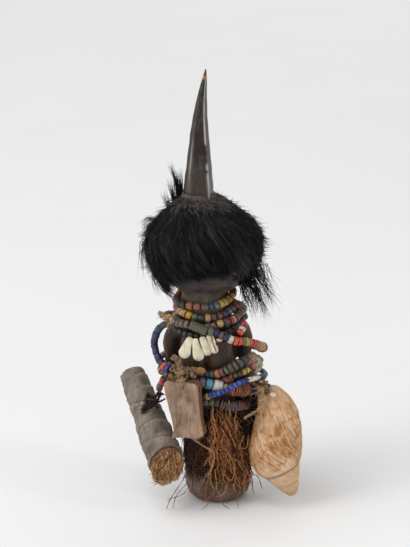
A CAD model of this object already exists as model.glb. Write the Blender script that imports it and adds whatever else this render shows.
# %% [markdown]
# # A carved power figure, dressed round its CAD solids
#
# The real object is one carved wooden figure with things fastened on it: a horn in its crown, a cap of
# black long-haired hide, strands of trade beads, a packet, a hide roll, a snail shell and a skirt of root
# fibres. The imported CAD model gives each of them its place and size, so nothing here is fitted by eye.
# The frame is loaded, its box is kept, and every finer piece is made in the space that its solid holds.

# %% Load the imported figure
import bpy
import bmesh
import math
import random
import numpy as np
from mathutils import Matrix, Vector


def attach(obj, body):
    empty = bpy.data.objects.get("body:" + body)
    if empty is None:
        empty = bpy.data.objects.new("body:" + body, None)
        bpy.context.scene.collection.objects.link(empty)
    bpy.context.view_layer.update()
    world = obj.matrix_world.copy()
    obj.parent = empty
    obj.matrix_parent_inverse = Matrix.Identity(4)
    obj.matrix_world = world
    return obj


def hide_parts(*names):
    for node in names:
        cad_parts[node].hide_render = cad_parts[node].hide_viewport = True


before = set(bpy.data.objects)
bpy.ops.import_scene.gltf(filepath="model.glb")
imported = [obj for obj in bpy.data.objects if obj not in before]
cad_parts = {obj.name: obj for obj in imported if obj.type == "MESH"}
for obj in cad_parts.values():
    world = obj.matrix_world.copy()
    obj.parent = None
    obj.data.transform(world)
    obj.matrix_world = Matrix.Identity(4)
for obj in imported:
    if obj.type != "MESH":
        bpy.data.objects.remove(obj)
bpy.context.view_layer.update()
MM = 0.001

# %% [markdown]
# ## Camera
#
# A studio picture of a small object is taken from some way off with a long lens, which keeps the figure
# from looking top-heavy. Here the camera stands 1.6 m away and 18 degrees above the level, and looks at a
# point a little above the waist. The lens follows from how many millimetres one pixel shows there.

# %% Set up the camera
look_at = Vector((-10.5, 0, 186.07)) * MM
camera_rise = math.radians(18)
lens = bpy.data.cameras.new("studio_lens")
lens.sensor_width = 36
lens.lens = 135
camera = bpy.data.objects.new("studio_camera", lens)
camera.location = look_at + 1.6 * Vector((0, -math.cos(camera_rise), math.sin(camera_rise)))
camera.rotation_euler = (math.pi / 2 - camera_rise, 0, 0)
bpy.context.scene.collection.objects.link(camera)
bpy.context.scene.camera = camera
print("camera at", [round(v, 3) for v in camera.location])

# %% [markdown]
# ## Floor and light
#
# The figure stands on a pale seamless surface. A big flat sheet is enough, because the camera looks down
# on it. The light is soft from all round, with one large softbox on the left that throws the faint shadow
# to the right of the base, and a narrow one on the right that draws the bright line down the horn.

# %% Lay the floor and hang the lights
def pale_finish():
    finish = bpy.data.materials.new("pale_floor")
    finish.use_nodes = True
    nodes, links = finish.node_tree.nodes, finish.node_tree.links
    shader = nodes["Principled BSDF"]
    shader.inputs["Roughness"].default_value = 0.9
    shader.inputs["Specular IOR Level"].default_value = 0.1
    place = nodes.new("ShaderNodeTexCoord")
    grain = nodes.new("ShaderNodeTexNoise")
    grain.inputs["Scale"].default_value = 6
    tone = nodes.new("ShaderNodeValToRGB")
    tone.color_ramp.elements[0].color = (0.80, 0.80, 0.80, 1)
    tone.color_ramp.elements[1].color = (0.83, 0.83, 0.83, 1)
    links.new(place.outputs["Object"], grain.inputs["Vector"])
    links.new(grain.outputs["Fac"], tone.inputs["Fac"])
    links.new(tone.outputs["Color"], shader.inputs["Base Color"])
    return finish


sheet = bmesh.new()
bmesh.ops.create_grid(sheet, x_segments=1, y_segments=1, size=8)
floor_mesh = bpy.data.meshes.new("floor")
sheet.to_mesh(floor_mesh)
sheet.free()
floor_mesh.materials.append(pale_finish())
floor = bpy.data.objects.new("floor", floor_mesh)
bpy.context.scene.collection.objects.link(floor)

world = bpy.data.worlds.new("white_room")
world.use_nodes = True
world.node_tree.nodes["Background"].inputs["Color"].default_value = (1, 1, 1, 1)
world.node_tree.nodes["Background"].inputs["Strength"].default_value = 0.6
bpy.context.scene.world = world
bpy.context.scene.view_settings.view_transform = "Standard"


def softbox(name, at, wide, high, power):
    """A flat lamp that faces the middle of the figure."""
    light = bpy.data.lights.new(name, "AREA")
    light.shape = "RECTANGLE"
    light.size, light.size_y, light.energy = wide, high, power
    lamp = bpy.data.objects.new(name, light)
    lamp.location = at
    aim = Vector((0, 0, 0.16)) if at[1] < 2 else Vector((0, 2.4, 0))
    lamp.rotation_euler = (aim - Vector(at)).to_track_quat("-Z", "Y").to_euler()
    bpy.context.scene.collection.objects.link(lamp)


softbox("softbox_left", (-2.2, -1.2, 1.4), 1.2, 2.7, 27.5)
softbox("softbox_right", (1.25, -0.55, 0.64), 0.16, 1.35, 4)
softbox("softbox_top", (-1.3, -0.4, 3.1), 2, 2, 38)
softbox("softbox_back", (0.4, 2.9, 1.7), 2.6, 1.0, 11)

# %% [markdown]
# ## A bench for mixing finishes
#
# Every surface on this figure is old, handled and uneven, so each material is built from a few layers:
# blotches of colour, a finer grain, and a bump that agrees with them. The small class below adds one node
# at a time and says its sizes in millimetres, which keeps the scale of a grain easy to judge.

# %% The finish bench
def shade(red, green, blue):
    """A colour as a picture shows it, 0 to 255, as the linear values that a shader takes."""
    linear = [c / 255 / 12.92 if c < 11 else ((c / 255 + 0.055) / 1.055) ** 2.4 for c in (red, green, blue)]
    return (*linear, 1.0)


class Finish:
    """A material being mixed. Each method adds a node and returns what comes out of it."""

    def __init__(self, name, roughness=0.6, gloss=0.5):
        self.material = bpy.data.materials.new(name)
        self.material.use_nodes = True
        self.tree = self.material.node_tree
        self.shader = self.tree.nodes["Principled BSDF"]
        self.set("Roughness", roughness)
        self.set("Specular IOR Level", gloss)
        self.place = self.tree.nodes.new("ShaderNodeTexCoord").outputs["Object"]
        self.relief = None

    def set(self, socket, value):
        if isinstance(value, bpy.types.NodeSocket):
            self.tree.links.new(value, self.shader.inputs[socket])
        else:
            self.shader.inputs[socket].default_value = value

    def add(self, kind, inputs, **settings):
        node = self.tree.nodes.new("ShaderNode" + kind)
        for key, value in settings.items():
            setattr(node, key, value)
        for key, value in inputs.items():
            if isinstance(value, bpy.types.NodeSocket):
                self.tree.links.new(value, node.inputs[key])
            else:
                node.inputs[key].default_value = value
        return node

    def blotches(self, size, stretch=(1, 1, 1), detail=4, rough=0.55, twist=0.0, turn=(0, 0, 0)):
        """Noise whose spots are about so many millimetres across, longer along stretched axes."""
        scale = [1 / (size * MM * s) for s in stretch]
        spot = self.add("Mapping", {"Vector": self.place, "Rotation": turn, "Scale": scale})
        inputs = {"Vector": spot.outputs[0], "Scale": 1, "Detail": detail, "Roughness": rough, "Distortion": twist}
        return self.add("TexNoise", inputs).outputs["Fac"]

    def mark(self, name, part="Fac"):
        """A value that was stored on the mesh, point by point."""
        return self.add("Attribute", {}, attribute_name=name).outputs[part]

    def tones(self, value, *stops):
        """Colours along a ramp, each given as a position and its shade."""
        ramp = self.add("ValToRGB", {"Fac": value}).color_ramp
        while len(ramp.elements) < len(stops):
            ramp.elements.new(0.5)
        for element, (position, colour) in zip(ramp.elements, stops):
            element.position, element.color = position, colour
        return self.tree.nodes[-1].outputs["Color"]

    def span(self, value, low, high, start=0.0, end=1.0):
        """A value from start to end, as another one from low to high."""
        inputs = {"Value": value, "From Min": start, "From Max": end, "To Min": low, "To Max": high}
        return self.add("MapRange", inputs).outputs["Result"]

    def mix(self, share, first, second, way="MIX"):
        node = self.add("Mix", {}, data_type="RGBA", blend_type=way)
        for socket, value in ((node.inputs[0], share), (node.inputs[6], first), (node.inputs[7], second)):
            if isinstance(value, bpy.types.NodeSocket):
                self.tree.links.new(value, socket)
            else:
                socket.default_value = value
        return node.outputs[2]

    def maths(self, way, first, second):
        return self.add("Math", {0: first, 1: second}, operation=way).outputs[0]

    def raise_by(self, height, depth, strength=0.8):
        """A bump of so many millimetres on top of the bumps before it."""
        inputs = {"Height": height, "Distance": depth * MM, "Strength": strength}
        if self.relief:
            inputs["Normal"] = self.relief
        self.relief = self.add("Bump", inputs).outputs["Normal"]
        self.set("Normal", self.relief)


print("bench ready")

# %% [markdown]
# ## Helpers for meshes
#
# The forms of this figure come in three families. Round ones start as a blank on a lathe, a spun row of
# rings, which is then reshaped ring by ring from a table of sections. Threads, ropes, hairs and fibres
# are one straight tube with rings, copied as often as needed and laid along its paths. Both are shaped by
# moving many corners at once with numpy, because a slow loop over half a million corners would take
# minutes. The tables are in millimetres, and `hand_over` turns them into metres at the end.

# %% Read, move and hand over meshes
def corners(mesh):
    places = np.zeros(len(mesh.vertices) * 3, np.float32)
    mesh.vertices.foreach_get("co", places)
    return places.reshape(-1, 3).astype(float)


def move_corners(mesh, places):
    mesh.vertices.foreach_set("co", np.asarray(places, np.float32).ravel())
    mesh.update()


def note(mesh, name, values):
    """Store a number or a colour on each corner, for the material to read."""
    values = np.asarray(values, np.float32)
    if values.ndim == 1:
        mesh.attributes.new(name, "FLOAT", "POINT").data.foreach_set("value", values)
    else:
        colours = np.ones((len(values), 4), np.float32)
        colours[:, :3] = values[:, :3]
        mesh.attributes.new(name, "FLOAT_COLOR", "POINT").data.foreach_set("color", colours.ravel())


def settle(form, name, tidy=True):
    """Turn a bmesh into a mesh, with doubles merged and faces pointing outwards."""
    if tidy:
        bmesh.ops.remove_doubles(form, verts=form.verts[:], dist=1e-4)
        bmesh.ops.recalc_face_normals(form, faces=form.faces[:])
    mesh = bpy.data.meshes.new(name)
    form.to_mesh(mesh)
    form.free()
    return mesh


def hand_over(mesh, finish, *nodes):
    """A finished mesh in millimetres becomes a piece that rides with the figure."""
    move_corners(mesh, corners(mesh) * MM)
    mesh.shade_smooth()
    mesh.materials.append(finish)
    piece = bpy.data.objects.new(mesh.name, mesh)
    bpy.context.scene.collection.objects.link(piece)
    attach(piece, "root")
    if nodes:
        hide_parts(*nodes)
    mesh.calc_loop_triangles()
    print(piece.name, len(mesh.loop_triangles), "triangles")
    return piece


print("helpers ready")

# %% Tables, swells and round forms
def between(rows, at):
    """Smooth values between the rows of a table, read at positions of its first column."""
    rows, at = np.array(rows, float), np.asarray(at, float)
    first = rows[:, 0]
    slope = np.gradient(rows, first, axis=0)
    i = np.clip(np.searchsorted(first, at, side="right") - 1, 0, len(first) - 2)
    step = first[i + 1] - first[i]
    t = np.clip((at - first[i]) / step, 0, 1)[..., None]
    step = step[..., None]
    near = (2 * t**3 - 3 * t**2 + 1) * rows[i] + (t**3 - 2 * t**2 + t) * step * slope[i]
    return near + (3 * t**2 - 2 * t**3) * rows[i + 1] + (t**3 - t**2) * step * slope[i + 1]


def swell(places, size, seed, waves=7):
    """A smooth random value from about -1 to 1, whose hills are so many millimetres apart."""
    chance = np.random.default_rng(seed)
    total = np.zeros(places.shape[:-1])
    for _ in range(waves):
        way = chance.normal(size=3)
        way *= chance.uniform(0.6, 1.5) * 2 * math.pi / size / np.linalg.norm(way)
        total += np.sin(places @ way + chance.uniform(0, 6.28))
    return total * 1.5 / waves


def on_section(rows, angle, out=0.0):
    """Points on oval sections. Angle 0 is the front and 90 degrees is the right."""
    z, wide, front, back, x, y, curve = np.moveaxis(np.asarray(rows, float), -1, 0)
    across, ahead = np.sin(angle), np.cos(angle)
    power = np.where(ahead > 0, curve, 1)
    px = x + (wide + out) * np.sign(across) * np.abs(across) ** power
    py = y - (np.where(ahead > 0, front, back) + out) * np.sign(ahead) * np.abs(ahead) ** power
    return np.stack([px, py, z + 0 * px], -1)


def full(row, x=0.0, y=0.0, curve=1.0):
    """A row of a section table with the values that it leaves out."""
    return [*row, x, y, curve][:5] + [y, curve] if len(row) < 5 else [*row, y, curve][:7]


def turned_blank(rings, steps, ends=True):
    """A spun form with a ring of radius 1 at each whole height from 0, closed at both ends."""
    form = bmesh.new()
    line = [(0, -1, i) for i in range(rings)]
    if ends:
        line = [(0, 0, 0), *line, (0, 0, rings - 1)]
    dots = [form.verts.new(p) for p in line]
    edges = [form.edges.new(pair) for pair in zip(dots, dots[1:])]
    bmesh.ops.spin(form, geom=dots + edges, axis=(0, 0, 1), angle=2 * math.pi, steps=steps, use_merge=True)
    bmesh.ops.remove_doubles(form, verts=form.verts[:], dist=1e-4)
    bmesh.ops.recalc_face_normals(form, faces=form.faces[:])
    return form


def round_form(name, rows, steps, ends=True):
    """A blank whose rings take the sections of a table. Returns its mesh, and each corner's row and angle."""
    rows = np.array([full(row) for row in rows], float)
    mesh = settle(turned_blank(len(rows), steps, ends), name, tidy=False)
    blank = corners(mesh)
    ring = np.rint(blank[:, 2]).astype(int)
    angle = np.arctan2(blank[:, 0], -blank[:, 1])
    share = np.hypot(blank[:, 0], blank[:, 1])[:, None]
    centre = np.stack([rows[ring, 4], rows[ring, 5], rows[ring, 0]], -1)
    places = on_section(rows[ring], angle)
    move_corners(mesh, centre + (places - centre) * np.where(share > 0.5, 1, 0))
    return mesh, ring, angle


print("round forms ready")

# %% Routes, tubes and twisted cords
def smooth_route(points, closed=False, steps=16):
    """A smooth line through a table of points, with more steps between them."""
    p = np.array(points, float)
    count = len(p)
    line = []
    for i in range(count if closed else count - 1):
        if closed:
            q = [p[(i + k) % count] for k in (-1, 0, 1, 2)]
        else:
            q = [p[i - 1] if i else 2 * p[0] - p[1], p[i], p[i + 1], p[i + 2] if i + 2 < count else 2 * p[-1] - p[-2]]
        gap = [max(np.linalg.norm(q[k + 1] - q[k]) ** 0.5, 1e-6) for k in range(3)]
        leave = ((q[1] - q[0]) / gap[0] - (q[2] - q[0]) / (gap[0] + gap[1]) + (q[2] - q[1]) / gap[1]) * gap[1]
        reach = ((q[2] - q[1]) / gap[1] - (q[3] - q[1]) / (gap[1] + gap[2]) + (q[3] - q[2]) / gap[2]) * gap[1]
        t = np.linspace(0, 1, steps, endpoint=False)[:, None]
        line.append((2 * t**3 - 3 * t**2 + 1) * q[1] + (t**3 - 2 * t**2 + t) * leave)
        line[-1] += (3 * t**2 - 2 * t**3) * q[2] + (t**3 - t**2) * reach
    return np.vstack(line + [p[0] if closed else p[-1]])


def travelled(line):
    """How far along a line each of its points is."""
    return np.concatenate([[0], np.cumsum(np.linalg.norm(np.diff(line, axis=0), axis=1))])


def spread_along(line, count):
    """So many points, evenly spaced along a line."""
    far = travelled(line)
    at = np.linspace(0, far[-1], count)
    return np.stack([np.interp(at, far, line[:, k]) for k in range(3)], -1)


def headings(paths):
    """For each point of each path: the way ahead, and two ways across it that don't twist."""
    ahead = np.gradient(paths, axis=1)
    ahead /= np.linalg.norm(ahead, axis=-1, keepdims=True) + 1e-9
    across = np.zeros_like(paths)
    last = np.cross(ahead[:, 0], [0.31, 0.17, 0.93]) + [1e-6, 0, 0]
    for k in range(paths.shape[1]):
        last = last - (last * ahead[:, k]).sum(-1, keepdims=True) * ahead[:, k]
        last /= np.linalg.norm(last, axis=-1, keepdims=True) + 1e-9
        across[:, k] = last
    return ahead, across, np.cross(ahead, across)


def straight_tube(rings, sides):
    """One closed tube along Z with even rings, the pattern of every thread, hair and fibre."""
    form = bmesh.new()
    at = Matrix.Translation((0, 0, 0.5))
    bmesh.ops.create_cone(form, cap_ends=True, segments=sides, radius1=1, radius2=1, depth=1, matrix=at)
    for i in range(1, rings - 1):
        whole = form.verts[:] + form.edges[:] + form.faces[:]
        bmesh.ops.bisect_plane(form, geom=whole, dist=1e-6, plane_co=(0, 0, i / (rings - 1)), plane_no=(0, 0, 1))
    return settle(form, "straight_tube", tidy=False)


def lay_tubes(name, paths, radii, sides=3, tints=None, squeeze=(1, 1, 1)):
    """Tubes along many paths at once: tubes x rings x 3 in millimetres, with radii of tubes x rings."""
    paths = np.asarray(paths, float)
    count, rings = paths.shape[:2]
    single = straight_tube(rings, sides)
    pattern = corners(single)
    ring = np.rint(pattern[:, 2] * (rings - 1)).astype(int)
    _, across, upward = headings(paths)
    reach = np.broadcast_to(radii, (count, rings))[:, ring, None]
    offset = reach * (pattern[:, 0, None] * across[:, ring] + pattern[:, 1, None] * upward[:, ring])
    copies = bmesh.new()
    for _ in range(count):
        copies.from_mesh(single)
    mesh = settle(copies, name, tidy=False)
    bpy.data.meshes.remove(single)
    move_corners(mesh, (paths[:, ring] + offset * np.array(squeeze)).reshape(-1, 3))
    note(mesh, "along", np.tile(ring / (rings - 1), count))
    if tints is not None:
        tints = np.asarray(tints, float)
        tints = tints[:, ring] if tints.ndim == 3 else np.repeat(tints[:, None], len(ring), axis=1)
        note(mesh, "tint", tints.reshape(-1, tints.shape[-1]))
    return mesh


def plies(line, thickness, count=2, pitch=5.0, rings=40, loose=0.15, seed=0):
    """The paths of the strands that are twisted into one cord along a line."""
    chance = np.random.default_rng(seed)
    centre = spread_along(line, rings)
    _, across, upward = headings(centre[None])
    far = travelled(centre)
    paths = []
    for k in range(count):
        turn = 2 * math.pi * (far / pitch + k / count) + 0.3 * np.sin(far * 0.9 + k)
        away = thickness * 0.5 * (1 + loose * np.sin(far * 1.7 + chance.uniform(0, 6.28)))
        ring = np.cos(turn)[:, None] * across[0] + np.sin(turn)[:, None] * upward[0]
        paths.append(centre + away[:, None] * ring)
    return paths


print("tubes ready")

# %% [markdown]
# ## The carved figure
#
# Base, body, arms, neck and head are cut from one piece of wood and rubbed smooth by years of handling.
# The forms overlap each other in the tables, so they could be joined with booleans, but those leave hard
# creases. Filling them with small cubes and smoothing the skin over those gives the soft inner corners
# that a knife and many hands leave. The face is a calm one in low relief, plain brow, nose, closed lids
# and lips, and the fringe hides most of it.

# %% Sections of the wood
NECK_X = -10.3
BODY_MIDDLE = -8.1
body_rows = [
    [0, 19.5, 19.5, 19.5, 0], [2.5, 22.6, 22.6, 22.6, 0], [7, 25, 25, 25, 0], [15, 26.2, 26.2, 26.2, 0],
    [28, 23.6, 23.6, 23.6, -1], [36, 21.6, 21.6, 21.6, -1.5], [60, 21, 21, 21, -2.5], [92, 22, 22.5, 21, -4.6],
    [109, 21.5, 21.5, 20, -6.5], [122, 20, 18, 18, -8], [140, 21, 17, 18, -9.5], [147, 20, 17.5, 18, NECK_X],
    [153, 19.4, 18.8, 18.8, NECK_X], [165, 19.6, 18.6, 18.6, NECK_X],
]
head_rows = [
    [175, 20, 20, 20, NECK_X], [179.5, 28, 26.6, 28, NECK_X], [187, 35, 32.4, 34.6, NECK_X],
    [197, 37, 34, 38, NECK_X], [209, 37, 34.5, 39, NECK_X], [221, 34, 32.5, 36, NECK_X],
    [232, 27, 26, 28, NECK_X - 1], [240, 19, 18.5, 19, NECK_X - 3], [243, 15.5, 15.5, 15.5, NECK_X - 5],
]
wood_rows = [full(row) for row in body_rows + head_rows]
slab_rows = [[110, 8, 5, 6, 0, -17, 0.6], [114, 9, 7.2, 6, 0, -17, 0.6], [132, 9.2, 7.2, 6, 0, -16.5, 0.6],
             [139, 8.6, 5.2, 6, 0, -16, 0.7], [145, 7, 3, 5, 0, -14.5, 0.8]]
arm_route = [[-16, 0, 138], [-30, 0, 140.5], [-37.5, 0, 133], [-38, -1, 119], [-36.5, -3.5, 108.5],
             [-30.5, -11, 106], [-22.5, -17.5, 108]]
arm_radii = [[0, 9], [0.2, 8], [0.36, 5.6], [0.55, 4.4], [0.75, 4.7], [0.88, 3.9], [1, 3.8]]
print(len(wood_rows), "sections of wood")


# %% Carve the wood
def grow_together(name, meshes, cube, softening):
    """Overlapping forms become one skin: filled with small cubes, which are then smoothed over."""
    joined = bmesh.new()
    for mesh in meshes:
        joined.from_mesh(mesh)
    holder = bpy.data.objects.new(name + "_rough", settle(joined, name + "_rough", tidy=False))
    bpy.context.scene.collection.objects.link(holder)
    skin = holder.modifiers.new("skin", "REMESH")
    skin.mode, skin.voxel_size = "VOXEL", cube
    soften = holder.modifiers.new("soften", "SMOOTH")
    soften.factor, soften.iterations = 0.5, softening
    grown = bpy.data.meshes.new_from_object(holder.evaluated_get(bpy.context.evaluated_depsgraph_get()))
    bpy.data.objects.remove(holder)
    grown.name = name
    return grown


def press(mesh, depths):
    """Move each corner outwards along its normal by its own number of millimetres."""
    facing = np.zeros(len(mesh.vertices) * 3, np.float32)
    mesh.vertex_normals.foreach_get("vector", facing)
    move_corners(mesh, corners(mesh) + facing.reshape(-1, 3) * np.asarray(depths)[:, None])


def stroke(points, radii, sides=10, rings=20):
    """A short round stroke along a few points, for arms and for the low relief."""
    shares = np.linspace(0, 1, rings)
    table = np.array(radii, float)
    thickness = np.interp(shares, table[:, 0], table[:, 1])
    return lay_tubes("stroke", spread_along(smooth_route(points), rings)[None], thickness[None], sides)


def ridge(z, half, radius):
    rows = between(wood_rows, [z] * 3)
    points = on_section(rows, np.array([-half, 0, half]), -0.6)
    return stroke(points, [[0, radius * 0.3], [0.3, radius], [0.7, radius], [1, radius * 0.3]])


def ball(centre, size):
    form = bmesh.new()
    bmesh.ops.create_icosphere(form, subdivisions=3, radius=1)
    bmesh.ops.scale(form, vec=size, verts=form.verts[:])
    bmesh.ops.translate(form, vec=centre, verts=form.verts[:])
    return settle(form, "ball", tidy=False)


wood_heights = np.linspace(0, 243, 122)
other_arm = [[2 * BODY_MIDDLE - x, y, z + 3] for x, y, z in arm_route]
wood_forms = [
    round_form("trunk", between(wood_rows, wood_heights), 72)[0],
    stroke(arm_route, arm_radii, 16, 40),
    stroke(other_arm, arm_radii, 16, 40),
    *[round_form("slab", between([r[:4] + [x] + r[5:] for r in slab_rows], np.linspace(110, 145, 20)), 40)[0]
      for x in (-20.3, 1.6)],
    ridge(216, 0.5, 2.8), ridge(194.4, 0.4, 2.2), ridge(190.6, 0.34, 2),
    stroke([[NECK_X, -31.5, 217], [NECK_X, -33, 209], [NECK_X, -33.4, 201]], [[0, 1.8], [0.6, 2.8], [1, 3.6]]),
    stroke([[-31, 2, 142], [-32, 3, 130], [-32, 2, 114]], [[0, 6.5], [0.5, 6], [1, 5]]),
    stroke([[14, 3, 143], [16, 4, 131], [16, 3, 117]], [[0, 6], [0.5, 5], [1, 5]]),
    stroke([[14, -3, 112], [20, -4, 104], [17, -3, 92], [12, -2, 82]], [[0, 5], [0.4, 7], [1, 5]]),
    ball((NECK_X - 12, -31.4, 209.6), (5.6, 3.4, 2.6)),
    ball((NECK_X + 12, -31.4, 209.6), (5.6, 3.4, 2.6)),
]
wood = grow_together("carved_wood", wood_forms, 1.4, 4)
places = corners(wood)
press(wood, 0.35 * swell(places * [1, 1, 0.35], 9, 3) + 0.16 * swell(places * [1, 1, 0.3], 3.1, 4))
places = corners(wood)
places[:, 2] = np.maximum(places[:, 2], 0)
move_corners(wood, places)
print("wood skin of", len(wood.vertices), "corners")

# %% [markdown]
# ## Old wood
#
# The base is worn to a smooth grey-brown, the body above is nearly black with old oil and dirt, and the
# edges that hands touch are rubbed back to ochre. Height on the figure chooses between the two woods, a
# stretched noise draws the upright grain, and Cycles' pointiness finds the edges that are worn.

# %% Mix the wood and hand the figure over
def old_wood():
    wood_finish = Finish("old_wood", 0.5, 0.4)
    patches = wood_finish.blotches(13, (1, 1, 1.6), detail=5)
    grain = wood_finish.blotches(0.9, (1, 1, 16), detail=6, rough=0.65)
    height = wood_finish.add("SeparateXYZ", {"Vector": wood_finish.place}).outputs["Z"]
    worn = wood_finish.tones(patches, (0.3, shade(74, 56, 47)), (0.52, shade(104, 82, 70)), (0.75, shade(132, 110, 96)))
    oiled = wood_finish.tones(patches, (0.3, shade(34, 28, 25)), (0.5, shade(60, 48, 41)), (0.7, shade(98, 74, 54)))
    neck = wood_finish.tones(patches, (0.3, shade(78, 70, 62)), (0.48, shade(112, 102, 90)), (0.62, shade(138, 116, 92)))
    jaw = wood_finish.tones(patches, (0.4, shade(40, 35, 32)), (0.54, shade(58, 50, 45)), (0.64, shade(108, 78, 54)))
    colour = wood_finish.mix(wood_finish.span(height, 0, 1, 0.036, 0.075), worn, oiled)
    colour = wood_finish.mix(wood_finish.span(height, 0, 1, 0.152, 0.16), colour, neck)
    colour = wood_finish.mix(wood_finish.span(height, 0, 1, 0.172, 0.18), colour, jaw)
    colour = wood_finish.mix(wood_finish.span(grain, 0.0, 0.75, 0.5, 0.72), colour, shade(34, 27, 24))
    edges = wood_finish.add("NewGeometry", {}).outputs["Pointiness"]
    rubbed = wood_finish.maths("MULTIPLY", wood_finish.span(edges, 0, 0.75, 0.51, 0.56), patches)
    colour = wood_finish.mix(rubbed, colour, shade(128, 98, 62))
    wood_finish.set("Base Color", colour)
    wood_finish.set("Roughness", wood_finish.span(patches, 0.38, 0.62, 0.3, 0.7))
    wood_finish.raise_by(grain, 0.35, 0.5)
    wood_finish.raise_by(wood_finish.blotches(3, (1, 1, 4)), 0.5, 0.4)
    return wood_finish.material


hand_over(wood, old_wood(), "carved_figure")

# %% [markdown]
# ## The horn
#
# A single small horn stands in a socket in the crown. Its front was scraped to a long flat facet, which
# leaves a crisp ridge on the right, with a chip in it, and a softer one on the left. It is drawn as a
# many-cornered outline whose corners are rounded by different amounts, and that outline is extruded
# upwards ring by ring while it shrinks and leans to the tip.

# %% Draw the horn
horn_rows = [
    [236, 11, 9.8, 10.2, -15.5, 0, 0.8], [243, 11.9, 10.4, 11, -15.5, 0, 0.8],
    [252, 12, 9.8, 11, -15.5, 0, 0.75], [274, 10, 8, 9.4, -15.2, 0.5, 0.7],
    [293, 8, 6.2, 7.6, -14.8, 1, 0.65], [313, 5.7, 4.4, 5.6, -14.0, 1.4, 0.65],
    [328, 3.7, 3, 3.8, -12.6, 1.2, 0.7], [341.5, 1.8, 1.5, 1.9, -10.8, 0.6, 0.8],
    [348.5, 0.4, 0.4, 0.4, -9.9, 0, 1],
]


def horn_outline():
    """The section of the horn: a flat front between a soft ridge and a crisp one."""
    form = bmesh.new()
    spots = [(-0.58, -0.8), (0.62, -1.0), (1.0, -0.2), (0.86, 0.62), (0.2, 1.0), (-0.62, 0.86), (-1.02, 0.0)]
    dots = [form.verts.new((x, y, 0)) for x, y in spots]
    form.faces.new(dots)
    soft = {"affect": "VERTICES", "offset_type": "OFFSET", "profile": 0.5, "material": -1}
    bmesh.ops.bevel(form, geom=[dots[1]], offset=0.09, segments=5, **soft)
    bmesh.ops.bevel(form, geom=[v for v in dots if v.is_valid and v is not dots[1]], offset=0.26, segments=6, **soft)
    facets = [e for e in form.edges if e.calc_length() > 0.3]
    bmesh.ops.subdivide_edges(form, edges=facets, cuts=7)
    return form


horn_form = horn_outline()
heights = np.linspace(236, 348.5, 60)
ring_at = between(horn_rows, heights)
bmesh.ops.scale(horn_form, vec=(ring_at[0, 1], (ring_at[0, 2] + ring_at[0, 3]) / 2, 1), verts=horn_form.verts[:])
bmesh.ops.translate(horn_form, vec=(ring_at[0, 4], ring_at[0, 5], heights[0]), verts=horn_form.verts[:])
top_edges = horn_form.edges[:]
for low, high in zip(ring_at, ring_at[1:]):
    raised = bmesh.ops.extrude_edge_only(horn_form, edges=top_edges)["geom"]
    ring = [v for v in raised if isinstance(v, bmesh.types.BMVert)]
    top_edges = [e for e in raised if isinstance(e, bmesh.types.BMEdge)]
    size = Vector((high[1] / low[1], (high[2] + high[3]) / (low[2] + low[3]), 1))
    bmesh.ops.scale(horn_form, vec=size, space=Matrix.Translation((-low[4], -low[5], 0)), verts=ring)
    bmesh.ops.translate(horn_form, vec=(high[4] - low[4], high[5] - low[5], high[0] - low[0]), verts=ring)
bmesh.ops.contextual_create(horn_form, geom=top_edges)
horn = settle(horn_form, "scraped_horn")
places = corners(horn)
section = between(horn_rows, places[:, 2])
across = (places[:, 0] - section[:, 4]) / section[:, 1]
forward = places[:, 1] < section[:, 5]
crest = np.interp(places[:, 2], [243, 288, 326], [0.7, 0.6, 0.42])
places[:, 0] += section[:, 1] * (crest - 0.62) * np.where(across < 0.62, np.clip((across + 1) / 1.62, 0, 1), (1 - across) / 0.38) * forward
move_corners(horn, places)
across = (places[:, 0] - section[:, 4]) / section[:, 1]
off = across - crest
chip = np.zeros(len(places))
for at, high, wide in ((289, 1.5, 0.16), (284.5, 2.2, 0.2), (279, 2.6, 0.13), (270, 1.2, 0.08)):
    chip += forward * np.exp(-((places[:, 2] - at) / high) ** 2) * np.exp(-((off + 0.05) / wide) ** 2)
chip = np.minimum(chip, 1)
scrape = 0.16 * swell(places * [1, 1, 0.06], 2.6, 8) + 0.22 * swell(places, 17, 9)
thin = np.clip((352 - places[:, 2]) / 60, 0.1, 1)
press(horn, scrape * thin - 0.9 * chip)
soft_side = 0.42 * np.exp(-(((across + 0.66) / 0.07) ** 2)) * np.exp(-(((places[:, 2] - 278) / 18) ** 2))
thin_line = np.exp(-((off / 0.07) ** 2)) * np.interp(places[:, 2], [243, 262, 300, 340], [0.7, 1, 0.9, 0.7])
note(horn, "ridge", forward * (thin_line * (1 - np.clip(chip * 2, 0, 1)) + soft_side + 0.14 * (off > 0.05)))
note(horn, "chip", chip)
print("horn of", len(horn.vertices), "corners")


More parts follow.
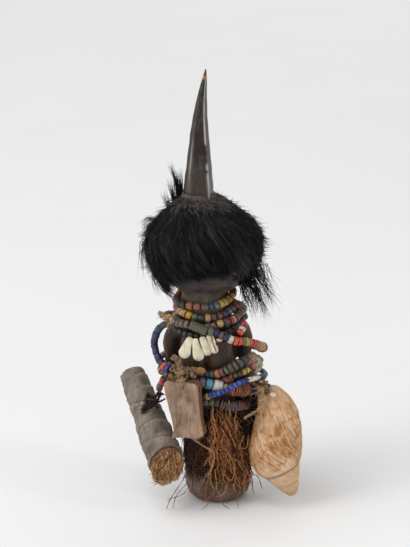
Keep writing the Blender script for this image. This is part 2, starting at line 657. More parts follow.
# %% Polish the horn
def horn_finish():
    polish = Finish("polished_horn", 0.2, 0.3)
    strands = polish.blotches(0.8, (1, 1, 30), detail=5, rough=0.7)
    clouds = polish.blotches(16, (1, 1, 2.4), detail=4)
    colour = polish.tones(strands, (0.3, shade(24, 20, 18)), (0.5, shade(46, 42, 39)), (0.7, shade(86, 80, 75)))
    colour = polish.mix(polish.span(clouds, 0, 0.8, 0.48, 0.6), colour, shade(38, 25, 22))
    colour = polish.mix(polish.maths("MULTIPLY", polish.mark("ridge"), 0.85), colour, shade(214, 208, 200))
    colour = polish.mix(polish.maths("MULTIPLY", polish.mark("chip"), 0.8), colour, shade(24, 17, 15))
    height = polish.add("SeparateXYZ", {"Vector": polish.place}).outputs["Z"]
    foot = polish.tones(polish.span(height, 0, 1, 0.243, 0.285), (0, (1, 1, 1, 1)), (1, (0, 0, 0, 1)))
    colour = polish.mix(polish.maths("MULTIPLY", foot, 0.6), colour, shade(74, 62, 55))
    tip = polish.span(height, 0, 1, 0.3395, 0.3425)
    tipped = polish.tones(polish.span(height, 0, 1, 0.3395, 0.3485), (0, shade(140, 104, 84)), (0.3, shade(168, 126, 100)),
                          (0.55, shade(84, 44, 36)))
    polish.set("Base Color", polish.mix(tip, colour, tipped))
    polish.set("Roughness", polish.span(strands, 0.14, 0.3, 0.3, 0.7))
    polish.raise_by(strands, 0.12, 0.6)
    return polish.material


hand_over(horn, horn_finish(), "horn")

# %% [markdown]
# ## The hide cap under the fur
#
# The fur is still on its hide, a cap that fits the head, leaves the face open and closes round the foot
# of the horn with a dusty rolled edge. It is a lathe-turned band whose outer rings follow the cap's
# sections and whose inner rings follow the head, with its two ends bridged, so that it has a real wall.

# %% Shape the hide
cap_rows = [full(row) for row in [
    [150, 31, 30, 32, NECK_X - 0.5], [170, 31.5, 30, 33, NECK_X - 0.5], [178, 34.5, 32, 35, NECK_X - 0.5],
    [190, 40.5, 38, 43, NECK_X - 1], [199, 44, 42, 46, NECK_X - 0.8], [210, 45.4, 43, 47, NECK_X - 0.6],
    [220, 44, 40.5, 44, NECK_X - 0.6], [230, 37, 33, 37, NECK_X - 0.8], [240, 25, 22.5, 25, NECK_X - 2.4],
    [252, 13.4, 12.8, 13.4, -15.7],
]]
HEM_SIDE, HEM_FRONT, CAP_TOP = 178, 199, 252


def hem_at(angle):
    ahead = np.clip((np.cos(angle) - 0.25) / 0.6, 0, 1)
    return HEM_SIDE + (HEM_FRONT - HEM_SIDE) * ahead * ahead * (3 - 2 * ahead)


OUTER, INNER = 22, 12
hide_form = turned_blank(OUTER + INNER, 96, ends=False)
bmesh.ops.bridge_loops(hide_form, edges=[e for e in hide_form.edges if e.is_boundary])
hide = settle(hide_form, "hide_cap")
blank = corners(hide)
ring = np.rint(blank[:, 2]).astype(int)
angle = np.arctan2(blank[:, 0], -blank[:, 1])
hem = hem_at(angle) + 1.5
share = np.where(ring < OUTER, ring / (OUTER - 1), (OUTER + INNER - 1 - ring) / (INNER - 1))
height = hem + (CAP_TOP - hem) * share
outside = on_section(between(cap_rows, height), angle, -1.6)
inside = on_section(between(wood_rows, np.minimum(height, 242)), angle, 1.4)
horn_side = on_section(between(horn_rows, np.maximum(height, 243)), angle, 0.5)
inside = np.where(height[:, None] > 242, horn_side, inside)
inside[:, 2] = height - 0.8 * (1 - share)
places = np.where((ring < OUTER)[:, None], outside, inside)
rolled = np.exp(-(((places[:, 2] - 250.6) / 2.5) ** 2)) * (ring < OUTER)
lumps = 0.7 * swell(places, 7, 21) * (ring < OUTER) + 1.1 * rolled * (1 + 0.5 * swell(places, 4, 22))
move_corners(hide, places)
press(hide, lumps)


def hide_finish():
    hide_coat = Finish("hide_and_underfur", 0.8, 0.25)
    dust = hide_coat.blotches(2.4, (1, 1, 0.7), detail=6, rough=0.7)
    height = hide_coat.add("SeparateXYZ", {"Vector": hide_coat.place}).outputs["Z"]
    black = hide_coat.tones(dust, (0.35, shade(10, 9, 11)), (0.7, shade(24, 22, 25)))
    dusty = hide_coat.tones(dust, (0.3, shade(46, 42, 40)), (0.5, shade(76, 70, 67)), (0.7, shade(112, 102, 92)))
    edge = hide_coat.span(height, 0, 1, 0.2445, 0.2495)
    hide_coat.set("Base Color", hide_coat.mix(edge, black, dusty))
    hide_coat.raise_by(dust, 0.7, 0.7)
    return hide_coat.material


hand_over(hide, hide_finish(), "fur_cap")

# %% [markdown]
# ## Long hair
#
# Each hair is a three-sided spike with a few bends, so thousands of them stay light. They grow in locks:
# a lock has its own root, fall and sweep, and its hairs start spread out and draw together towards the
# tip, which is what makes real fur look streaked. Seen from the front the left side sweeps in, the middle
# falls straight and the right side sweeps out. A hair system would be quicker to set up, but it is lost
# when the model is exported.

# %% Comb the locks
HAIR_RINGS = 5
run = np.linspace(0, 1, HAIR_RINGS)


def sweep_at(angle):
    """How far the hair turns to the right, in radians for each millimetre that it falls."""
    left = 0.015 * np.exp(-(((angle + 0.75) / 0.5) ** 2))
    right = 0.014 * np.exp(-(((angle - 0.8) / 0.5) ** 2))
    return 0.004 + left + right


def fringe_at(angle):
    """Where hair ends: lower than the hem on both cheeks."""
    left = 1.5 * np.exp(-(((angle + 0.78) / 0.34) ** 2))
    return hem_at(angle) - left - 5 * np.exp(-(((angle - 0.85) / 0.3) ** 2)) + 1.5 * np.sin(angle * 17)


def comb(count, locks, height_range, angle_range, fall, lift, chance, over=5.0, spread=1.0):
    """Paths of so many hairs in so many locks, whose roots lie in a band of the cap."""
    low, high = height_range
    pool = chance.uniform(low, high, locks * 4)
    wide = between(cap_rows, pool)[:, 1]
    lock_z = chance.choice(pool, locks, p=wide / wide.sum())
    lock_angle = chance.uniform(*angle_range, locks)
    lock_z = np.maximum(lock_z, hem_at(lock_angle) + 1)
    lock_fall = chance.uniform(*fall, locks)
    lock_sweep = sweep_at(lock_angle) + chance.normal(0, 0.005, locks)
    lock_lift = chance.uniform(*lift, locks)
    tone = 0.5 + chance.exponential(0.6, locks) + (chance.random(locks) < 0.17) * chance.uniform(3, 17, locks)
    tone *= 1 + 4 * np.exp(-(((lock_angle - 0.62) / 0.25) ** 2)) - 0.35 * np.exp(-(((lock_angle - 0.1) / 0.4) ** 2))
    pick = chance.integers(0, locks, count)
    off_z = chance.normal(0, 3.2 * spread, count)
    off_angle = chance.normal(0, 0.055 * spread, count)
    z0 = lock_z[pick] + off_z
    a0 = lock_angle[pick] + off_angle
    z0 = np.clip(z0, hem_at(a0) + 0.5, 247)
    drop = lock_fall[pick] * chance.uniform(0.75, 1.2, count)
    lowest = fringe_at(a0) - over * chance.uniform(-0.2, 1.0, count) + chance.normal(0, 2, locks)[pick]
    drop = np.maximum(np.minimum(drop, z0 - lowest), 1.5)
    close = 1 - 0.84 * run
    z = z0[:, None] - drop[:, None] * run + chance.normal(0, 0.35, count)[:, None] * run
    turn = (lock_sweep[pick] * drop + chance.normal(0, 0.03, count))[:, None] * run ** 1.2
    angle = lock_angle[pick][:, None] + off_angle[:, None] * close + turn
    rise = (lock_lift[pick] * chance.uniform(0.6, 1.4, count))[:, None] * np.sin(run * 2.1) ** 0.8
    side = np.abs(np.sin(angle)) ** 2
    out = -1.7 - 1.5 * side + chance.uniform(0, 1.0, count)[:, None] + rise * (1 - 0.45 * side)
    return on_section(between(cap_rows, z), angle, out), tone[pick]


def hair_tints(count, chance, dusty=0.0, lock=1.0):
    """Mostly black with a cool sheen, a few grey hairs, and some dust."""
    tone = (np.clip(chance.normal(1.0, 0.35, count), 0.4, 2.2) * lock)[:, None]
    black = np.array(shade(9, 8, 10)[:3]) * tone
    grey = chance.random(count)[:, None] < 0.045
    dust = chance.random(count)[:, None] < dusty
    black = np.where(grey, np.array(shade(84, 83, 90)[:3]), black)
    return np.where(dust, np.array(shade(66, 60, 56)[:3]) * tone, black)


def spikes(count, thick, chance):
    """The radii of a hair from root to tip."""
    return (thick * chance.uniform(0.75, 1.25, count))[:, None] * np.array([1, 1, 0.86, 0.56, 0.12])


def fur_finish():
    fur = Finish("black_fur", 0.42, 0.24)
    along = fur.mark("along")
    tone = fur.mix(fur.span(along, 0.35, 0.0, 0, 0.6), fur.mark("tint", "Color"), shade(6, 6, 8))
    fur.set("Base Color", tone)
    fur.set("Roughness", fur.span(fur.blotches(5), 0.34, 0.52, 0.3, 0.7))
    return fur.material


fur_black = fur_finish()
chance = np.random.default_rng(11)
for name, count, locks, heights, sides, wide in (("fur_front", 6700, 460, (186, 246), (-1.75, 1.75), 0.2),
                                                 ("fur_back", 3200, 270, (182, 246), (1.7, 4.58), 0.28)):
    hairs, lock = comb(count, locks, heights, sides, (18, 40), (0.4, 4.6), chance, over=6)
    hand_over(lay_tubes(name, hairs, spikes(count, wide, chance), 3, hair_tints(count, chance, 0, lock)), fur_black, "fur_cap")

# %% [markdown]
# ## Wisps, tufts and short hair
#
# What makes fur believable is its outline. Long wisps hang free at the lower right, thin ones stand off
# the left cheek, a spiky tuft points up beside the horn, and fine strays break the edge everywhere. On
# the crown the hair is short and dusty.

# %% Add wisps, tufts and strays
def wisp(points, count, spread, chance, tail=1.0):
    """Hairs that start side by side along a lock's line and end in a loose point."""
    line = spread_along(smooth_route(points), HAIR_RINGS)
    start = chance.normal(0, spread, (count, 1, 3))
    end = chance.normal(0, spread * tail, (count, 1, 3))
    bow = chance.normal(0, spread * 0.5, (count, 1, 3))
    share = run[None, :, None]
    long = chance.uniform(0.72, 1.08, count)[:, None, None]
    core = line[0] + (line - line[0]) * long
    return core + start * (1 - share) + end * share ** 2 + bow * np.sin(share * math.pi)


wisps = [
    ([[26, -20, 190], [30, -21, 180], [34, -21, 170], [36, -20, 160]], 40, 1.8, 2.4),
    ([[22, -24, 190], [25.5, -26, 181], [28, -26, 172], [29.5, -25, 163]], 40, 1.8, 2.2),
    ([[29, -15, 190], [35, -15, 181], [40, -14, 172], [44, -13, 162]], 30, 1.5, 2.6),
    ([[24, -21, 186], [31, -22, 174], [37, -21, 162], [40, -20, 152]], 16, 1.3, 2.4),
    ([[17, -28, 189], [19, -30, 182], [21, -30.5, 175], [22.5, -30, 168]], 34, 1.5, 2.0),
    ([[31, -8, 192], [37, -8, 182], [42, -7, 173], [46, -6, 166]], 8, 1.2, 2.6),
    ([[33, -2, 194], [37, -1, 184], [39, 0, 176], [40, 0, 169]], 12, 1.8, 2.4),
    ([[33, 10, 192], [36, 12, 182], [37, 13, 173], [37.5, 13, 166]], 12, 1.8, 2.4),
    ([[36, -12, 198], [40, -13, 190], [42, -13, 184], [43, -13, 179]], 6, 1.8, 2.2),
    ([[20, -26, 182], [24, -28, 172], [27, -28, 162], [28, -27, 155]], 9, 1.2, 2.2),
    ([[-51, -6, 230], [-56, -7, 218], [-59.6, -8, 205], [-58, -9, 192]], 13, 1.6, 2.0),
    ([[-51, 0, 224], [-56, 0, 212], [-59, -1, 200], [-56.5, -2, 186]], 16, 2.0, 2.2),
    ([[-50, -12, 216], [-54, -14, 205], [-55, -15, 194], [-50, -17, 182]], 18, 1.8, 2.0),
    ([[-47, -14, 198], [-50, -17, 189], [-48, -19, 180], [-42, -20, 172]], 18, 1.6, 2.0),
    ([[-44, -20, 190], [-44, -23, 183], [-38, -25, 177], [-31, -25, 173]], 26, 1.8, 1.6),
    ([[-48, 4, 226], [-53, 4, 231], [-57, 4, 229], [-60, 4, 221]], 12, 1.2, 2.0),
    ([[-46, -4, 229], [-51, -5, 233], [-55, -5, 231], [-58, -6, 225]], 10, 1.2, 2.0),
]
tufts = [
    ([[-27, 3, 240], [-31, 4, 250], [-33.5, 5, 261], [-37.4, 5, 273]], 58, 1.3, 0.9),
    ([[-25.5, 4, 242], [-28.6, 5, 251], [-30, 6, 259], [-30.6, 6, 267]], 50, 1.4, 1.3),
    ([[-30, 3, 237], [-34, 3, 245], [-35.6, 4, 252], [-37, 4, 260]], 46, 1.7, 1.3),
    ([[-34, 2, 234], [-38, 1, 240], [-40, 1, 246], [-42.5, 1, 251]], 30, 1.6, 1.5),
]
loose = np.concatenate([wisp(points, n, width, chance, tail) for points, n, width, tail in wisps + tufts])
strays = 2800
edge_on = np.where(chance.random(strays) < 0.5, 1.5, -1.55) + chance.normal(0, 0.3, strays)
stray_angle = np.where(chance.random(strays) < 0.75, edge_on, chance.uniform(0, 2 * math.pi, strays))
stray_z = np.maximum(chance.uniform(186, 247, strays), hem_at(stray_angle) + 2)
upper = np.clip((stray_z - 222) / 20, 0, 1)
reach = (2 + chance.exponential(2 + 0.4 * upper).clip(0, 9))[:, None] * run ** 1.2
stray_path = on_section(
    between(cap_rows, np.clip(stray_z[:, None] - (chance.uniform(-2, 8, strays) - 4 * upper)[:, None] * run ** 1.4, 172, 258)),
    stray_angle[:, None] + chance.normal(0.04, 0.07, strays)[:, None] * run, -1.7 + reach)
short = 2100
short_angle = chance.uniform(0, 2 * math.pi, short)
short_z = 249 - (25 + 15 * np.sin(short_angle).clip(0, 1)) * chance.random(short) ** 1.3
short_fall = np.minimum(chance.uniform(3, 9, short), short_z - 200)
short_path = on_section(
    between(cap_rows, np.minimum(short_z[:, None] - short_fall[:, None] * run, 248.5)),
    short_angle[:, None] + (sweep_at(short_angle) * 5 + chance.normal(0.02, 0.12, short))[:, None] * run,
    -1.9 + chance.uniform(0.6, 3.6, short)[:, None] * np.sin(run * 2.2))
ruff = 1000
ruff_z, ruff_angle = chance.uniform(243, 250, ruff), chance.uniform(0, 2 * math.pi, ruff)
ruff_path = on_section(between(cap_rows, ruff_z[:, None] - chance.uniform(3, 8, ruff)[:, None] * run),
                       ruff_angle[:, None] + chance.normal(0, 0.2, ruff)[:, None] * run,
                       -2.2 + chance.uniform(0.4, 3.4, ruff)[:, None] * np.sin(run * 2.2))
ruff_path[:, :, 2] += (chance.uniform(-1, 7, ruff) * np.clip(np.cos(ruff_angle) + 0.3, 0.1, 1))[:, None] * run
dust = np.array(shade(124, 116, 110)[:3]) * chance.uniform(0.15, 1.3, (ruff, 1))
extra = np.concatenate([loose, stray_path, short_path, ruff_path])
thickness = np.concatenate([spikes(n, wide, chance) for n, wide in ((len(loose), 0.19), (strays, 0.22), (short, 0.16), (ruff, 0.17))])
tints = np.concatenate([hair_tints(len(loose) + strays, chance), hair_tints(short, chance, dusty=0.5), dust])
hand_over(lay_tubes("fur_wisps", extra, thickness, 3, tints), fur_black, "fur_cap")
nub = ball((31.8, -10, 189.6), (3.4, 2.6, 3.2))
nub.name = "dried_nub"
press(nub, 0.6 * swell(corners(nub), 4, 5))
nub_bench = Finish("dried_skin", 0.7, 0.3)
nub_bench.set("Base Color", nub_bench.tones(nub_bench.blotches(1.6), (0.35, shade(44, 36, 32)), (0.65, shade(92, 80, 68))))
nub_finish = nub_bench.material
hand_over(nub, nub_finish, "fur_cap")

# %% [markdown]
# ## Trade beads
#
# The strands are old glass trade beads of many colours, worn dull, with grime packed round their ends.
# Hundreds of them are needed, so a bead is only a closed ring of sixty faces: its outline, hole and all,
# is spun once. A crisp version makes tubes and discs and a plump one makes round beads, and every bead is
# something between the two, a little oval and a little askew, which is what hand-cut glass looks like.

# %% One bead, crisp and plump
def bead_pattern(roundness):
    form = bmesh.new()
    line = [(0.24, -0.46), (1 - 0.42 * roundness, -0.5), (1, -0.5 + 0.3 * roundness),
            (1, 0.5 - 0.3 * roundness), (1 - 0.42 * roundness, 0.5), (0.24, 0.46)]
    dots = [form.verts.new((x, 0, z)) for x, z in line]
    edges = [form.edges.new((dots[i - 1], dots[i])) for i in range(6)]
    bmesh.ops.spin(form, geom=dots + edges, axis=(0, 0, 1), angle=2 * math.pi, steps=10, use_merge=True)
    return settle(form, "bead_pattern")


crisp_bead, plump_bead = bead_pattern(0.3), bead_pattern(1.0)
glass = {name: shade(*colour)[:3] for name, colour in {
    "rose": (182, 90, 100), "moss": (100, 100, 80), "rust": (172, 112, 70), "brick": (154, 98, 80),
    "taupe": (112, 98, 90), "slate": (72, 80, 92), "steel": (120, 128, 142), "straw": (206, 176, 84),
    "ochre": (190, 144, 70), "umber": (100, 72, 48), "cream": (214, 198, 158), "sand": (196, 168, 108),
    "amber": (212, 164, 60), "sage": (98, 108, 88), "deep": (52, 62, 60), "mottled": (196, 154, 114),
    "plum": (112, 84, 92), "maroon": (132, 70, 64), "seed": (150, 80, 60), "char": (52, 48, 48), "navy": (38, 44, 90),
    "cobalt": (62, 88, 178), "royal": (52, 58, 150), "teal": (82, 152, 186), "white": (228, 224, 218),
    "coral": (232, 96, 58), "scarlet": (212, 66, 74), "orange": (200, 112, 66), "olive": (112, 108, 78),
    "grass": (108, 146, 82), "cocoa": (96, 76, 68), "smoke": (82, 78, 70), "dusk": (48, 66, 94),
    "night": (40, 42, 98),
    "pink": (204, 112, 126), "verdigris": (88, 90, 74),
}.items()}


def string_beads(name, route, beads, rest, radius, node, closed=False):
    """Beads along a route: those that are seen, in order, then a dull mixture to its end."""
    pick = random.Random(name)
    line = smooth_route(route, closed)
    far = travelled(line)
    row = [(b[0], b[2], b[3] if len(b) > 3 else radius) for b in beads for _ in range(b[1])]
    while sum(long for _, long, _ in row) < far[-1] - 1.5:
        row.append((pick.choice(rest), pick.uniform(3.6, 5.8), radius * pick.uniform(0.88, 1.04)))
    longs = np.array([long for _, long, _ in row])
    fit = far[-1] / longs.sum()
    middles = (np.cumsum(longs) - longs / 2) * fit
    chance = np.random.default_rng(len(row))
    spots = np.stack([np.interp(middles, far, line[:, k]) for k in range(3)], -1)
    ends = [np.stack([np.interp(middles + side * longs * 0.3, far, line[:, k]) for k in range(3)], -1)
            for side in (-1, 1)]
    ahead = ends[1] - ends[0] + chance.normal(0, 0.05, spots.shape) * longs[:, None]
    ahead /= np.linalg.norm(ahead, axis=1, keepdims=True)
    across = np.cross(ahead, chance.normal(size=spots.shape))
    across /= np.linalg.norm(across, axis=1, keepdims=True)
    upward = np.cross(ahead, across)
    wides = np.array([wide for _, _, wide in row]) * chance.uniform(0.93, 1.03, len(row))
    oval = chance.uniform(0.95, 1.05, len(row))
    plump = np.clip(1.1 - np.abs(longs / wides / 2 - 0.8) * 1.6, 0, 1) * chance.uniform(0.2, 0.85, len(row))
    plump *= 0.2 if node == "blue_arm_loop" else 1
    plump = plump[:, None, None]
    local = corners(crisp_bead) * (1 - plump) + corners(plump_bead) * plump
    local = local * np.stack([wides * oval, wides / oval, longs * fit * 0.99], -1)[:, None]
    places = sum(local[:, :, k, None] * way[:, None] for k, way in enumerate((across, upward, ahead)))
    copies = bmesh.new()
    for _ in row:
        copies.from_mesh(crisp_bead)
    mesh = settle(copies, name, tidy=False)
    move_corners(mesh, (places + spots[:, None]).reshape(-1, 3))
    pattern = corners(plump_bead)
    grime = np.clip((np.abs(pattern[:, 2]) - 0.26) / 0.2, 0, 1)
    tints = np.array([glass[colour] for colour, _, _ in row]) * chance.uniform(0.85, 1.12, (len(row), 1))
    note(mesh, "grime", np.tile(grime, len(row)))
    note(mesh, "tint", np.repeat(tints, len(pattern), axis=0))
    hand_over(mesh, trade_glass, node)
    return line


def bead_glass():
    old_glass = Finish("trade_glass", 0.42, 0.5)
    streaks = old_glass.blotches(1.6, (1, 1, 1), detail=5, rough=0.65, twist=0.4)
    pits = old_glass.blotches(0.5, detail=3)
    colour = old_glass.mix(1.0, old_glass.mark("tint", "Color"),
                           old_glass.tones(streaks, (0.28, shade(150, 140, 130)), (0.6, shade(255, 252, 248))),
                           "MULTIPLY")
    grime = old_glass.maths("MULTIPLY", old_glass.mark("grime"), old_glass.span(streaks, 0.75, 0.3, 0.3, 0.7))
    colour = old_glass.mix(grime, colour, shade(38, 30, 26))
    specks = old_glass.span(pits, 0, 0.65, 0.56, 0.7)
    old_glass.set("Base Color", old_glass.mix(specks, colour, shade(66, 54, 44)))
    old_glass.set("Roughness", old_glass.span(streaks, 0.3, 0.55, 0.3, 0.7))
    old_glass.raise_by(pits, 0.12, 0.6)
    return old_glass.material


trade_glass = bead_glass()


def fragment(name, centre, size, colour, node):
    """A worn lump: a broken bead or a bit of hide."""
    mesh = ball(centre, size)
    mesh.name = name
    press(mesh, 0.22 * min(size) * swell(corners(mesh), max(size) * 1.3, len(name)))
    note(mesh, "tint", np.tile(glass[colour], (len(mesh.vertices), 1)))
    note(mesh, "grime", np.zeros(len(mesh.vertices)))
    hand_over(mesh, trade_glass, node)


print("bead of", len(crisp_bead.polygons), "faces and", len(glass), "colours of glass")

# %% [markdown]
# ## The three rows round the neck
#
# The routes are the ones that the CAD strands follow. Only the front of each row is seen, so its beads
# are listed there in order with their lengths, and the rest are drawn from the dull ones.

# %% String the neck rows
upper_row = [[-31.6, 5, 165.8], [-33, -2, 164.8], [-29.8, -13, 165.4], [-20.6, -21, 166.5], [NECK_X, -22.6, 166],
             [-0.6, -20, 167], [7.2, -13, 168.7], [11.4, -1, 171], [7.6, 14, 171], [NECK_X, 21.8, 169.5],
             [-28, 14, 168]]
middle_row = [[-31.6, -10, 160.2], [-26, -18.2, 159.5], [-19, -22, 157.8], [-9, -23, 157.3],
              [0.3, -21, 158.3], [9, -12.5, 160.1], [12.6, -2, 160.8], [7.6, 12.6, 161.5], [-8, 21.8, 161],
              [-25.6, 16.4, 160.5], [-32, 3, 160.5]]
lower_row = [[-25, -18.3, 149.6], [-14, -22.7, 149.6], [-5, -24.3, 151], [1.9, -24, 153.3],
             [11.2, -19, 154.6], [15.4, -12, 156], [19.2, -3, 157.3], [17, 9, 157], [6, 20.6, 156],
             [NECK_X, 25.5, 155], [-26, 18, 153.5], [-33, 5, 151.5], [-32, -8, 150.5]]
dull = ["moss", "taupe", "cocoa", "slate", "rust", "brick", "deep", "olive", "plum", "ochre", "smoke"]
strung = {}
strung["upper"] = string_beads("beads_neck_upper", upper_row, [
    ("rose", 2, 6), ("moss", 2, 3.2), ("deep", 1, 3.2), ("umber", 1, 3.4), ("char", 1, 2.4),
    ("rust", 1, 6.2), ("brick", 1, 5.8), ("taupe", 1, 6.4), ("slate", 1, 4), ("steel", 1, 4.4),
    ("straw", 2, 4.2), ("ochre", 2, 5.2), ("umber", 1, 4)], dull, 3.3, "neck_strand_upper", True)
strung["middle"] = string_beads("beads_neck_middle", middle_row, [
    ("rose", 1, 3), ("cream", 1, 3), ("sand", 2, 3), ("amber", 1, 4.6), ("sage", 1, 5), ("deep", 1, 5),
    ("mottled", 1, 5), ("cocoa", 1, 4.6), ("maroon", 1, 4.8), ("slate", 1, 5), ("steel", 2, 4.6)],
    dull, 3.3, "neck_strand_middle", True)
strung["lower"] = string_beads("beads_neck_lower", lower_row, [
    ("cocoa", 3, 5), ("taupe", 2, 5), ("sand", 1, 5.6), ("cocoa", 1, 5.4), ("scarlet", 1, 2.2),
    ("cream", 1, 2.2), ("brick", 1, 5.4), ("moss", 1, 4.6), ("brick", 1, 3.4), ("grass", 1, 4.4)],
    dull, 3.3, "neck_strand_lower", True)

fragment("red_hide_bit", (14.6, -11, 164.6), (3.8, 2.6, 3.2), "maroon", "neck_strand_middle")
quill = spread_along(smooth_route([[12.4, -14.6, 164.8], [16, -14, 166.4], [20.6, -13, 168.2]]), 8)[None]
hand_over(lay_tubes("hide_bit_quill", quill, np.linspace(0.5, 0.25, 8)[None], 5, np.array([shade(58, 42, 40)[:3]])),
          trade_glass, "neck_strand_middle")

# %% [markdown]
# ## Strands on the chest and arms
#
# A loop with a thick ribbed bead lies across the chest and swings round the right arm, dark beads carry
# the shell pendants, and long blue tubes stand off the left arm like a handle.

# %% String the chest and the arms
chest_route = [[-33, -20, 151.8], [-28.3, -24, 153], [-22.9, -28.2, 153.6], [-16, -30.5, 152],
               [-9.7, -31, 149.6], [-2, -31, 148.2], [3, -31.4, 146], [7, -31.5, 143.6], [13.5, -31, 141.2],
               [18.9, -28, 139.9], [25.2, -23, 137.2], [30.9, -16.5, 132.5], [35, -8, 128], [34.5, 1, 123.5],
               [28, 11, 122], [17, 18.5, 125], [4, 23, 131], [-12, 24.5, 138], [-27, 20.5, 144.5],
               [-38, 10, 149.5], [-42.5, -3, 151]]
pendant_route = [[-34.5, -17, 147], [-29, -22, 145.8], [-22, -25.5, 144.6], [-14, -26.2, 143.4],
                 [-7, -26.2, 143.2], [1, -25.5, 143.8], [8, -21.6, 146], [14, -15, 149], [20, -5.5, 151],
                 [19.5, 6, 151], [10.5, 19, 149.8], [0, 26.8, 148.5]]
red_white_route = [[20.4, -20.5, 152.5], [19, -24, 150.3], [17, -26.8, 147.6], [15.8, -28.6, 146.2]]
arm_loop_route = [[-40.6, -15, 150], [-45.4, -13, 146], [-48.6, -11.4, 140], [-50.2, -10, 131], [-47.6, -14, 122.5],
                  [-43.4, -21, 118], [-38.4, -27.4, 116.2]]
side_route = [[-42.6, -26, 109], [-44.4, -23.5, 104], [-46, -20, 99], [-46.5, -14.5, 95]]
strung["chest"] = string_beads("beads_chest", chest_route, [
    ("taupe", 3, 4.6, 3.2), ("verdigris", 1, 14.8, 3.9), ("sage", 1, 4.8, 4), ("navy", 1, 4.4, 3),
    ("plum", 1, 3.8), ("navy", 1, 4.6), ("white", 1, 4.4, 3.1), ("coral", 2, 3.2, 3.5), ("taupe", 1, 3.6, 3.2),
    ("straw", 1, 3.2, 3.3), ("rust", 1, 4.4, 3.3), ("scarlet", 1, 3.4, 3.4), ("rust", 1, 4.4, 3.6),
    ("mottled", 2, 4.2, 3.9), ("brick", 2, 4.6, 4)], dull, 2.9, "chest_strand")
strung["pendant"] = string_beads("beads_pendant", pendant_route, [
    ("char", 6, 4.6), ("deep", 1, 4.4), ("char", 5, 4.6)], ["char", "deep", "cocoa", "smoke"], 2.6, "pendant_strand")
strung["red_white"] = string_beads("beads_red_white", red_white_route, [
    ("scarlet", 1, 4.2), ("white", 1, 3.8), ("coral", 1, 3.2)], ["coral"], 2.9, "red_white_strand")
strung["arm"] = string_beads("beads_arm_loop", arm_loop_route, [
    ("dusk", 3, 6.4), ("navy", 1, 6), ("char", 1, 3), ("night", 2, 6.4), ("navy", 1, 6.2), ("coral", 1, 4, 3.3),
    ("royal", 1, 4.6, 3.2)], ["navy"], 2.95, "blue_arm_loop")
strung["side"] = string_beads("beads_side", side_route, [
    ("maroon", 1, 3), ("scarlet", 1, 3.4), ("plum", 1, 4), ("maroon", 1, 3.6), ("taupe", 1, 4)],
    ["taupe"], 2.7, "side_strand")

fragment("broken_bead", (7.6, -27.6, 108.4), (4.6, 2.4, 2.8), "brick", "waist_strand_short")

# %% [markdown]
# ## Strands at the waist
#
# Five strands sag round the waist. One has large blue and white beads that run on into thick discs cut
# from red-brown seed shell, another is a string of small bright blue beads with a long white tube.

# %% String the waist
top_waist = [[24.4, -24, 121.5], [20.6, -27, 124.4], [15.9, -30, 122.6], [10, -31.8, 119.6],
             [4.2, -32, 116.6], [-1, -30.6, 114.2], [-10, -28.7, 113.4], [-18, -28.4, 114.6], [-28, -27, 116],
             [-38, -19.5, 116.6], [-46.5, -5, 115.6], [-44, 9, 115], [-32, 20, 114.5], [-10, 26.5, 113.5],
             [12, 22, 113.5], [28.5, 10, 113.5], [33.5, -3, 114.5]]
short_waist = [[8.5, -28, 110.6], [14, -29, 112.6], [19.3, -28.4, 114.6], [23.6, -24.6, 115.6]]
disc_waist = [[-17.5, -30.6, 108.4], [-8.2, -30.8, 106], [-1.2, -30.6, 104.4], [5.5, -29.9, 102],
              [12.9, -28.4, 100.4], [20.8, -24, 98.6], [26.6, -16, 96.8], [29.4, -6, 96.6], [29, 5, 97],
              [23, 16, 98.4], [12, 25, 100], [-3, 29.4, 102.4], [-20, 26, 104.4], [-34, 18, 106],
              [-43.5, 6.5, 107], [-45, -6, 107.8], [-38.5, -17.5, 108.2], [-28, -25.6, 108.4]]
blue_waist = [[-9.7, -31.4, 95.4], [-5.4, -34.6, 97.8], [1, -37, 100.8], [8, -37.2, 104], [14, -35.8, 107.4],
              [20, -32.4, 108.8], [26.5, -26.4, 108.2], [32.6, -19, 106.6], [36.4, -11, 105], [36.4, 2, 103],
              [31, 15, 101], [19, 28, 98.4], [-3, 35, 96], [-24, 29, 95], [-37.5, 14, 94], [-40.5, -1, 93],
              [-36, -15, 92.4], [-24, -26.2, 93]]
low_waist = [[-12.1, -27.2, 89.4], [-3.5, -28.2, 89.4], [5.1, -28.4, 87], [15.4, -24.6, 85.2],
             [23.6, -16, 83.4], [27, -4, 82.6], [24.6, 8, 82.8], [14.5, 19.4, 83.4], [-4, 25.8, 84.4],
             [-21, 20.4, 85.4], [-31, 4, 86.2], [-28.6, -12, 87], [-21, -22, 88.2]]
strung["top"] = string_beads("beads_waist_top", top_waist, [
    ("rust", 1, 3.4, 2.8), ("deep", 1, 5.8, 3.6), ("smoke", 1, 4, 3.8), ("cocoa", 1, 3.9, 3.8),
    ("smoke", 1, 4, 3.8), ("moss", 1, 3.6, 3.6), ("plum", 1, 3.6, 3.5), ("orange", 1, 4.6, 3.2),
    ("slate", 1, 4, 3)], dull, 3.0, "waist_strand_top")
strung["short"] = string_beads("beads_waist_short", short_waist, [
    ("brick", 1, 3.2), ("olive", 1, 3.8), ("cocoa", 1, 3.4), ("straw", 1, 3.6), ("straw", 1, 3.8)],
    ["straw"], 2.6, "waist_strand_short")
